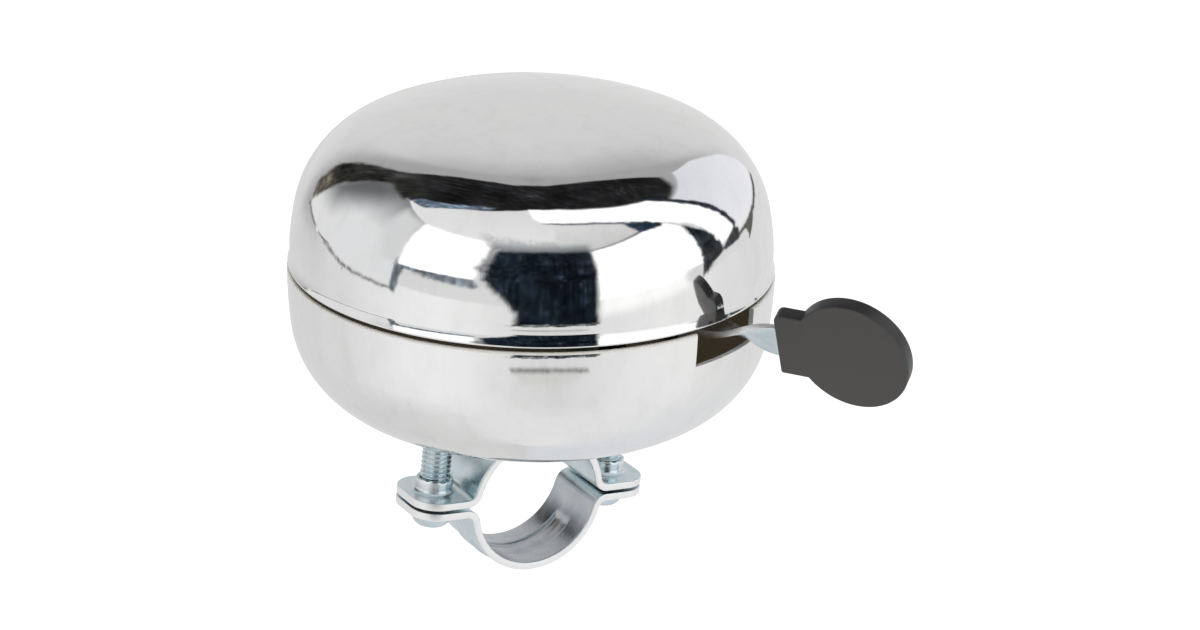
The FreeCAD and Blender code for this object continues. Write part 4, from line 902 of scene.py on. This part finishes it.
# ------------------------------------------------------------------ return spring
def spring_piece():
    wire, cr, pitch = 0.4, 7.2, 0.88
    ax, ay = -11.6, -5.6
    bx, by = 12.6, O + 0.4

    def tangent(p, radius, side):
        return math.atan2(p[1], p[0]) + side * math.acos(radius / math.hypot(*p))
    away = wire + 0.82
    t = tangent((ax, ay), cr + away, 1)
    sp = (ax - math.cos(t) * away, ay - math.sin(t) * away)
    ta = tangent(sp, cr, 1)
    t = tangent((bx, by), cr + away, -1)
    ep = (bx - math.cos(t) * away, by - math.sin(t) * away)
    tb = tangent(ep, cr, -1)
    sweep = (tb - ta) % (2 * math.pi) + 4 * math.pi
    slope = pitch / (2 * math.pi * cr)
    la = math.hypot(sp[0] - cr * math.cos(ta), sp[1] - cr * math.sin(ta)) + 1.6
    lb = math.hypot(ep[0] - cr * math.cos(tb), ep[1] - cr * math.sin(tb)) + 1.6
    low = 31.2 + 1.2 + 0.2 + wire + la * slope
    pts = [(cr * math.cos(ta) + math.sin(ta) * d, cr * math.sin(ta) - math.cos(ta) * d, low - slope * d)
           for d in np.linspace(la, 0, 12)[:-1]]
    m = 160
    for a in np.linspace(ta, ta + sweep, m + 1):
        pts.append((cr * math.cos(a), cr * math.sin(a), low + pitch * (a - ta) / (2 * math.pi)))
    high = pts[-1][2]
    pts += [(cr * math.cos(tb) - math.sin(tb) * d, cr * math.sin(tb) + math.cos(tb) * d, high + slope * d)
            for d in np.linspace(0, lb, 12)[1:]]
    z0, z1 = pts[0][2], pts[-1][2]
    pts = np.array(pts)
    tang = np.gradient(pts, axis=0)
    tang /= np.linalg.norm(tang, axis=1)[:, None]
    verts, loops, k = [], [], 14
    for p, tt in zip(pts, tang):
        side = np.cross(tt, (0, 0, 1.0))
        side /= np.linalg.norm(side)
        upv = np.cross(side, tt)
        loops.append(list(range(len(verts), len(verts) + k)))
        verts += [tuple(p + wire * (side * math.cos(a) + upv * math.sin(a))) for a in np.arange(k) * 2 * math.pi / k]
    faces = [(loops[i][j], loops[i][(j + 1) % k], loops[i + 1][(j + 1) % k], loops[i + 1][j])
             for i in range(len(loops) - 1) for j in range(k)]
    faces += [tuple(loops[0]), tuple(loops[-1])]
    obj = new_object("return_spring_piece", verts, faces, SPRING, 50.0)
    obj.data.transform(Matrix.Translation((BX * MM, 0, 0)) @ Matrix.Rotation(LEVER_AZ, 4, "Z"))
    return obj, z0, z1


spring, sz0, sz1 = spring_piece()
spring.data.materials.clear()
spring.data.materials.append(SPRING)
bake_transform(spring)
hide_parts("return_spring")

# ------------------------------------------------------------------ finishes for the solids that stay
SHOWN = {o.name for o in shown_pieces()}
for name, obj in NODES.items():
    obj.data.materials.clear()
    obj.data.materials.append(SLOTS[SLOT_OF[name]])
    if name in SHOWN:
        m = obj.modifiers.new("edge", "BEVEL")
        m.width, m.segments, m.limit_method, m.angle_limit = 0.00008, 2, "ANGLE", math.radians(40)
        m.harden_normals = False

# ------------------------------------------------------------------ studio
BETA = math.radians(29.7)


def smooth_field(shape, cells_az, cells_el, seed):
    """Smooth random values around 0, repeating round the azimuth."""
    rng = np.random.default_rng(seed)
    grid = rng.normal(0, 1, (cells_el + 2, cells_az))
    y = np.linspace(0, cells_el, shape[0])
    x = np.arange(shape[1]) * cells_az / shape[1]
    yi, xi = y.astype(int), x.astype(int)
    fy, fx = (y - yi)[:, None], (x - xi)[None, :]
    fy, fx = fy * fy * (3 - 2 * fy), fx * fx * (3 - 2 * fx)
    a = grid[yi][:, xi] * (1 - fx) + grid[yi][:, (xi + 1) % cells_az] * fx
    b = grid[yi + 1][:, xi] * (1 - fx) + grid[yi + 1][:, (xi + 1) % cells_az] * fx
    return a * (1 - fy) + b * fy


def plane_field(x, y, seed):
    """Smooth random values over a plane, one cell per unit."""
    grid = np.random.default_rng(seed).normal(0, 1, (256, 256))
    xi, yi = np.floor(x).astype(int), np.floor(y).astype(int)
    fx, fy = x - xi, y - yi
    fx, fy = fx * fx * (3 - 2 * fx), fy * fy * (3 - 2 * fy)
    a = grid[yi % 256, xi % 256] * (1 - fx) + grid[yi % 256, (xi + 1) % 256] * fx
    b = grid[(yi + 1) % 256, xi % 256] * (1 - fx) + grid[(yi + 1) % 256, (xi + 1) % 256] * fx
    return a * (1 - fy) + b * fy


def polygon_mask(outline, az, el, soft):
    """1 inside an outline of (azimuth, elevation) corners in degrees, with a soft edge that many degrees wide."""
    pts = np.array(outline, float)
    inside = np.zeros(az.shape, bool)
    best = np.full(az.shape, 1e9)
    for i in range(len(pts)):
        (x0, y0), (x1, y1) = pts[i - 1], pts[i]
        cross = (y0 > el) != (y1 > el)
        with np.errstate(divide="ignore", invalid="ignore"):
            xi = (x1 - x0) * (el - y0) / (y1 - y0) + x0
        inside ^= cross & (az < xi)
        dx, dy = x1 - x0, y1 - y0
        t = np.clip(((az - x0) * dx + (el - y0) * dy) / (dx * dx + dy * dy + 1e-12), 0, 1)
        best = np.minimum(best, np.hypot(az - x0 - t * dx, el - y0 - t * dy))
    signed = np.where(inside, best, -best)
    x = np.clip(signed / soft + 0.5, 0, 1)
    return x * x * (3 - 2 * x)


def tone(v):
    """Screen brightness 0..255 to the light a chromed surface must see to show it."""
    return (np.asarray(v, float) / 255.0) ** 2.2 / 0.885


def studio_dome():
    """A big sphere of soft panels, flags and the pale room round the object. Azimuth 0 is the camera's right, -90 is
    towards the camera, elevation 90 is overhead."""
    na, ne = 1440, 720
    az = np.linspace(-180, 180, na, endpoint=False)[None, :].repeat(ne + 1, 0)
    el = np.linspace(-90, 90, ne + 1)[:, None].repeat(na, 1)
    wrap = np.where(az > 90, az - 360, az)  # -270..90, split behind the object so no panel crosses the seam
    ragged = smooth_field(az.shape, 240, 60, 3) * 0.6 + smooth_field(az.shape, 620, 90, 4) * 0.5
    streaks = smooth_field(az.shape, 500, 26, 5) * 0.6 + smooth_field(az.shape, 240, 90, 6) * 0.5
    blots = smooth_field(az.shape, 60, 40, 8)
    # overhead the streaks follow the ceiling instead of running to the top point
    ex, ey = np.cos(np.radians(el)) * np.cos(np.radians(az)), np.cos(np.radians(el)) * np.sin(np.radians(az))
    over = plane_field(ex * 60 + ey * 45, ey * 9 - ex * 6, 11) * 0.6 + plane_field(ex * 120 + ey * 90, ey * 26 - ex * 18, 12) * 0.6
    over_blots = plane_field(ex * 7, ey * 5, 13)
    mix = np.clip((el - 50) / 14, 0, 1)
    streaks = streaks * (1 - mix) + over * mix
    blots = blots * (1 - mix) + over_blots * mix
    light = np.empty(az.shape + (3,))
    # the pale table top, a little uneven, then the room from its edge up to the ceiling behind the object
    near = np.interp(wrap, [-225, -210, -185, -165, -148, -132, -117, -102, -87, -72, -56, -41, -25, -8, 10, 40, 90],
                     [207, 208, 213, 224, 231, 234, 229, 220, 213, 211, 220, 226, 229, 227, 218, 214, 214])
    low = np.interp(wrap, [-270, -225, -165, -140, -120, -100, -60, -30, 0, 30, 90], [205, 203, 207, 213, 219, 221, 222, 223, 219, 215, 210])
    t = np.clip((-el - 32) / 20, 0, 1)
    table = near * (1 - t) + low * t
    room = np.interp(el, [-6, 8, 22, 50, 56, 60, 63, 68, 74, 79], [213, 210, 206, 205, 200, 187, 167, 137, 102, 60])
    shade = np.where(el > -6, room, table) + 0.8 * blots * (el < -6)
    light[:] = tone(shade)[..., None] * np.array([1.0, 1.0, 0.995])
    cool = (np.clip((wrap + 20) / 60, 0, 1) * np.clip((-el - 30) / 20, 0, 1))[..., None]
    light *= 1 + cool * np.array([-0.03, -0.01, 0.025])
    for panel in PANELS:
        outline, value, soft = panel[:3]
        rough = panel[3] if len(panel) > 3 else 0.0
        grain = panel[4] if len(panel) > 4 else 0.0
        xs, ys = [p[0] for p in outline], [p[1] for p in outline]
        pad = soft + 3 * rough + 1
        rows = (el[:, 0] > min(ys) - pad) & (el[:, 0] < max(ys) + pad)
        cols = (wrap[0] > min(xs) - pad) & (wrap[0] < max(xs) + pad)
        box = np.ix_(rows, cols)
        w, e, g = wrap[box], el[box], ragged[box]
        m = polygon_mask(outline, w + g * rough, e + g * rough * 0.6, soft)[..., None]
        if isinstance(value, tuple) and len(value) == 4:
            low, high, e0, e1 = value
            t = np.clip((e - e0) / (e1 - e0), 0, 1)[..., None]
            v = tone(low if isinstance(low, tuple) else (low,) * 3) * (1 - t) + tone(high if isinstance(high, tuple) else (high,) * 3) * t
        else:
            v = np.broadcast_to(tone(value if isinstance(value, tuple) else (value,) * 3), m.shape[:2] + (3,))
        if grain:
            st = np.clip(streaks[box], -1.5, 2.5)[..., None]
            bl = np.clip(blots[box], -2, 2)[..., None]
            v = v * np.exp(grain * (0.75 * st + 0.45 * bl)) + 0.02 * grain * np.clip(st - 0.6, 0, 2) * np.array([0.7, 1.0, 1.3])
        light[box] = light[box] * (1 - m) + v * m
    radius = 1.6
    wa, we = np.radians(az) - BETA, np.radians(el)
    x, y, z = BX * MM + radius * np.cos(we) * np.cos(wa), radius * np.cos(we) * np.sin(wa), radius * np.sin(we) + SEAM * MM
    verts = np.stack([x, y, z], -1).reshape(-1, 3)
    i, j = np.meshgrid(np.arange(ne), np.arange(na), indexing="ij")
    k = (j + 1) % na
    faces = np.stack([i * na + j, i * na + k, (i + 1) * na + k, (i + 1) * na + j], -1).reshape(-1, 4)
    mesh = bpy.data.meshes.new("studio_dome")
    mesh.vertices.add(len(verts))
    mesh.vertices.foreach_set("co", verts.astype(np.float32).ravel())
    mesh.loops.add(faces.size)
    mesh.loops.foreach_set("vertex_index", faces.astype(np.int32).ravel())
    mesh.polygons.add(len(faces))
    mesh.polygons.foreach_set("loop_start", np.arange(0, faces.size, 4, dtype=np.int32))
    mesh.update()
    layer = mesh.attributes.new("light", "FLOAT_COLOR", "POINT")
    rgba = np.concatenate([light, np.ones(az.shape + (1,))], -1)
    layer.data.foreach_set("color", rgba.astype(np.float32).ravel())
    obj = bpy.data.objects.new("studio_dome", mesh)
    bpy.context.scene.collection.objects.link(obj)
    mat = bpy.data.materials.new("studio_light")
    mat.use_nodes = True
    nt = mat.node_tree
    nt.nodes.clear()
    attr = add(nt, "ShaderNodeAttribute")
    attr.attribute_name = "light"
    em = add(nt, "ShaderNodeEmission")
    nt.links.new(attr.outputs["Color"], em.inputs["Color"])
    out = add(nt, "ShaderNodeOutputMaterial")
    nt.links.new(em.outputs[0], out.inputs["Surface"])
    mat.cycles.emission_sampling = "NONE"
    mesh.materials.append(mat)
    obj.visible_camera = False
    obj.visible_shadow = False


# panels: outline in (azimuth, elevation) degrees, screen tone or (low, high, from, to), soft edge, ragged edge, streaks.
# Azimuth runs -270..90, so 135 degrees is written -225.
SHADE = [(-310, 74), (-268, 74), (-259, 66), (-250, 58), (-243, 50), (-237, 42), (-233.5, 33), (-231.5, 22), (-230, 10), (-229, -5),
      (-212, -5), (-200, 30), (-180, 60), (-160, 72), (-90, 85), (-20, 80), (10, 60), (30, 35), (56, 22), (60.5, 34), (64, 42), (67, 48),
      (71.5, 55), (78, 64), (86, 73), (130, 74), (130, 111), (-310, 111)]  # where the ceiling darkens towards the gap
PANELS = [
    # dark gap in the ceiling, from the front panels back over the object
    (SHADE, (178, 178, 178), 36.0),
    (SHADE, (159, 159, 159), 16.0),
    ([(-310, 78), (-250, 76.5), (-239, 70.5), (-231, 62.5), (-226, 57.5), (-221.5, 52), (-221.5, 45), (-212, 44), (-205, 47), (-180, 49), (-170, 50.5), (-163, 56), (-150, 63), (-120, 71), (-90, 75), (-60, 74),
      (-30, 68), (-10, 61), (4, 56), (12, 46), (30, 47), (44, 50), (54, 61.5), (64, 71), (76, 76.5), (130, 78), (130, 111), (-310, 111)],
     (36, 36, 37), 2.6, 0.4, 0.62),
    # left flag and the shaded wall beside it
    ([(-212, 46), (-180, 49), (-153, 41.5), (-153, -4), (-160, -7), (-184, -8), (-205, -6), (-224, 0), (-220, 20)],
     ((219, 219, 220), (112, 113, 114), 22, 50), 1.6),
    ([(-172, 44), (-153.6, 40.5), (-153.2, 4), (-162, 4), (-170, 26)], (207, 207, 208), 8.0),
    ([(-216, 50), (-190, 50), (-189, 38), (-195, 28), (-206, 14), (-219, 14)], (98, 99, 100), 22.0),
    ([(-205, 47), (-208, 40), (-213, 25), (-219, 6), (-223, 0), (-226, 4), (-228, 20), (-226, 34), (-224, 42), (-221.5, 47)],
     ((104, 98, 88), (44, 44, 42), 0, 22), 2.4, 0.7, 0.7),
    ([(-212, 46), (-184, 47), (-188, 57), (-198, 59), (-214, 54)], (50, 50, 48), 3.0, 0.6, 0.5),
    ([(-181, 49.8), (-168, 51.2), (-160, 57.5), (-148, 64.0), (-132, 69.4), (-132, 71.6), (-150, 68.2), (-166, 61), (-182, 53.5)],
     (92, 104, 118), 2.4, 0.7, 1.1),
    # front left wall and its bright panel
    ([(-180, 49.5), (-168, 50.5), (-162, 56), (-150, 63), (-118, 71), (-90, 75), (-60, 66), (-60, 31), (-112, 34), (-116, 2), (-153, 2), (-153, 41)], (230, 214, 20, 70), 1.2),
    ([(-180, 50), (-153, 41.8), (-153, 41.2), (-180, 48.6)], (226, 226, 224), 0.7, 0.2),
    ([(-120, 46), (-60, 40), (-60, 32), (-110, 33)], (182, 196, 32, 46), 7.0, 1.5, 0.2),
    ([(-153, 41), (-118, 40), (-111, 33), (-113, 15), (-117, 1.5), (-153, 3)], 268, 2.0, 0.3),
    ([(-154.2, 9), (-153.2, 3.4), (-117, 2.6), (-114, 0.2), (-116, -0.8), (-150, 0.0), (-152.5, -3.5), (-154, -8.8), (-157.5, -8.4), (-155.8, -2)],
     (112, 120, 128), 1.0, 0.45, 0.8),
    # ceiling panel in front and its bright band
    ([(-96, 75), (-60, 74), (-30, 68), (-8, 60), (8, 54), (14, 42), (20, 25), (23, 6), (10, 4), (2, 26), (-10, 38), (-26, 49),
      (-45, 56), (-66, 59.5), (-84, 62), (-90, 66)], 264, 1.2, 0.4),
    ([(-76, 60), (-62, 58.4), (-45, 54.6), (-26, 47), (-27, 39), (-60, 32), (-76, 33)], (196, 214, 34, 58), 3.0),
    ([(-84, 60.6), (-72, 60.6), (-45, 56.6), (-28, 50), (-28, 48.0), (-45, 54.6), (-72, 59.0)], (70, 78, 92), 0.9, 0.4),
    # bright right panel with a thin dark frame
    ([(-59, 0), (-16, 0), (-14, -7), (-57, -10)], (252, 252, 251), 5.0),
    ([(-60, 31), (-28, 37.5), (-12, 38.5), (-6, 30), (-4.5, 12), (-4, -2), (-20, -3), (-59, -4)], 268, 1.4, 0.35),
    ([(-60, 32), (-28, 39.2), (-14, 39.5), (-14, 37.8), (-28, 37.8), (-60, 31.0)], (96, 100, 106), 0.9, 0.4),
    ([(-31, 50), (-28, 38), (-14, 36.5), (-11, 38.5), (-20, 46)], (40, 52, 66), 1.4, 0.8, 0.6),
    # dark shape of the camera and the person behind it
    ([(-111, 41), (-60, 38.5), (-60, 30), (-111, 30)], ((64, 70, 78), (184, 186, 188), 30, 41), 5.0, 0.1, 0.05),
    ([(-116, 14), (-110, 34), (-104, 34), (-104, 0), (-112, 2)], (150, 152, 154), 4.0, 1.0, 0.5),
    ([(-107.5, 32), (-84, 33), (-62, 31.5), (-59.5, 30), (-59.8, 2), (-59.5, -9), (-58.5, -17.0), (-97, -17.0), (-97, -9), (-103, -3),
      (-112, 3), (-111, 12)], (27, 33, 40), 3.0, 0.5, 0.8),
    ([(-98, -15.5), (-59, -15.5), (-59, -19.0), (-98, -19.0)], (92, 96, 98), 1.2, 1.6, 1.3),
    ([(-98, -26.0), (-64, -25.8), (-70, -28.6), (-92, -28.8)], (204, 203, 200), 4.0, 0.0, 0.03),
    ([(-99, -25.3), (-84, -25.0), (-63, -25.2), (-62, -26.0), (-98, -26.3)], (128, 128, 126), 1.3, 0.16, 0.35),
    # right side: dark stand, bright strip, thin dark post, pale wall
    ([(-5.5, 30), (-2, 26), (4, 17), (9, 7), (10.5, 0), (4, -4), (-4, -6)], ((58, 60, 62), (34, 40, 50), 2, 20), 1.6, 0.7, 0.8),
    ([(14, 45), (48, 45), (57, 36), (60, 20), (61, 3), (25, 3), (22, 12), (18, 30)], ((230, 230, 234), (212, 213, 219), 5, 45), 0.9),
    ([(5, 59), (11, 54), (15, 44), (20, 30), (24.5, 8), (22.5, 6), (17.5, 26), (12.5, 40), (7, 52)], (40, 46, 56), 1.2, 0.4, 0.5),
    ([(10, 1), (16, 5), (23, 8), (25, 4), (24, -1), (12, -1)], (62, 64, 66), 1.5, 0.5, 0.5),
    # the far edge of the table
    ([(24, 1.8), (42, 2.2), (61, 2.0), (61, 0.2), (42, 0.2), (33, -6), (31, 0), (24, 0)], (95, 95, 92), 1.0, 0.4),
    ([(-225, -0.6), (-205, -6.3), (-184, -7.9), (-156, -7.4), (-156, -8.2), (-184, -8.9), (-206, -7.5), (-225, -1.8)],
     (128, 128, 126), 0.8, 0.35, 0.8),
]
studio_dome()

# pale floor under the clamp, kept close to white as on a light table
floor_mesh = bpy.data.meshes.new("floor")
size, z = 3.0, -0.0222
floor_mesh.from_pydata([(-size, -size, z), (size, -size, z), (size, size, z), (-size, size, z)], [], [(0, 1, 2, 3)])
floor = bpy.data.objects.new("floor", floor_mesh)
bpy.context.scene.collection.objects.link(floor)
mat = bpy.data.materials.new("floor_white")
mat.use_nodes = True
nt = mat.node_tree
nt.nodes.clear()
diffuse = add(nt, "ShaderNodeBsdfDiffuse")
diffuse.inputs["Color"].default_value = (0.92, 0.92, 0.92, 1)
glow = add(nt, "ShaderNodeEmission")
path = add(nt, "ShaderNodeLightPath")
strength = add(nt, "ShaderNodeMapRange")
strength.inputs["To Min"].default_value, strength.inputs["To Max"].default_value = 0.50, 0.86
nt.links.new(path.outputs["Is Camera Ray"], strength.inputs["Value"])
nt.links.new(strength.outputs["Result"], glow.inputs["Strength"])
shade = add(nt, "ShaderNodeAddShader")
dim = add(nt, "ShaderNodeMixShader")
dim.inputs["Fac"].default_value = 0.42
nt.links.new(diffuse.outputs[0], dim.inputs[1])
nt.links.new(dim.outputs[0], shade.inputs[0])
nt.links.new(glow.outputs[0], shade.inputs[1])
# seen from below the floor is clear, so the underside can be looked at
geometry = add(nt, "ShaderNodeNewGeometry")
clear = add(nt, "ShaderNodeBsdfTransparent")
side = add(nt, "ShaderNodeMixShader")
nt.links.new(geometry.outputs["Backfacing"], side.inputs["Fac"])
nt.links.new(shade.outputs[0], side.inputs[1])
nt.links.new(clear.outputs[0], side.inputs[2])
out = add(nt, "ShaderNodeOutputMaterial")
nt.links.new(side.outputs[0], out.inputs["Surface"])
floor_mesh.materials.append(mat)
floor.visible_glossy = False

world = bpy.data.worlds.new("World")
bpy.context.scene.world = world
world.use_nodes = True
world.node_tree.nodes["Background"].inputs["Color"].default_value = (1, 1, 1, 1)
world.node_tree.nodes["Background"].inputs["Strength"].default_value = 1.0

# ------------------------------------------------------------------ camera at the photograph's angle
cam_data = bpy.data.cameras.new("camera")
cam = bpy.data.objects.new("camera", cam_data)
bpy.context.scene.collection.objects.link(cam)
cam_data.sensor_width, cam_data.lens = 36.0, 90.0
cam_data.clip_start, cam_data.clip_end = 0.01, 50.0
dist, elev, roll, focal, aim_u, aim_v = 492.7, math.radians(19.96), math.radians(1.40), 3000.0, 531.67, 259.98
C = dist * np.array([0, -math.cos(elev), math.sin(elev)])
fwd = -C / np.linalg.norm(C)
right = np.array([1.0, 0, 0])
up_v = np.cross(right, fwd)
t = np.array([(aim_u - 600) / focal, -(aim_v - 315) / focal, 1.0])
t /= np.linalg.norm(t)
v = np.cross((0, 0, 1.0), t)
K = np.array([[0, -v[2], v[1]], [v[2], 0, -v[0]], [-v[1], v[0], 0]])
Rm = np.eye(3) + K + K @ K * ((1 - t[2]) / (v @ v))
Rr = np.array([[math.cos(roll), math.sin(roll), 0], [-math.sin(roll), math.cos(roll), 0], [0, 0, 1]])
M = Rm @ Rr @ np.array([right, up_v, fwd])
Rz = np.array([[math.cos(-BETA), -math.sin(-BETA), 0], [math.sin(-BETA), math.cos(-BETA), 0], [0, 0, 1]])
loc = Rz @ C + np.array([BX, 0, SEAM])
axes = [Rz @ M[0], Rz @ M[1], -(Rz @ M[2])]
mw = Matrix.Identity(4)
for col, vec in enumerate(axes):
    for row in range(3):
        mw[row][col] = vec[row]
for row in range(3):
    mw[row][3] = loc[row] * MM
cam.matrix_world = mw
bpy.context.scene.camera = cam

scene = bpy.context.scene
scene.view_settings.view_transform = "Standard"
scene.view_settings.look = "None"
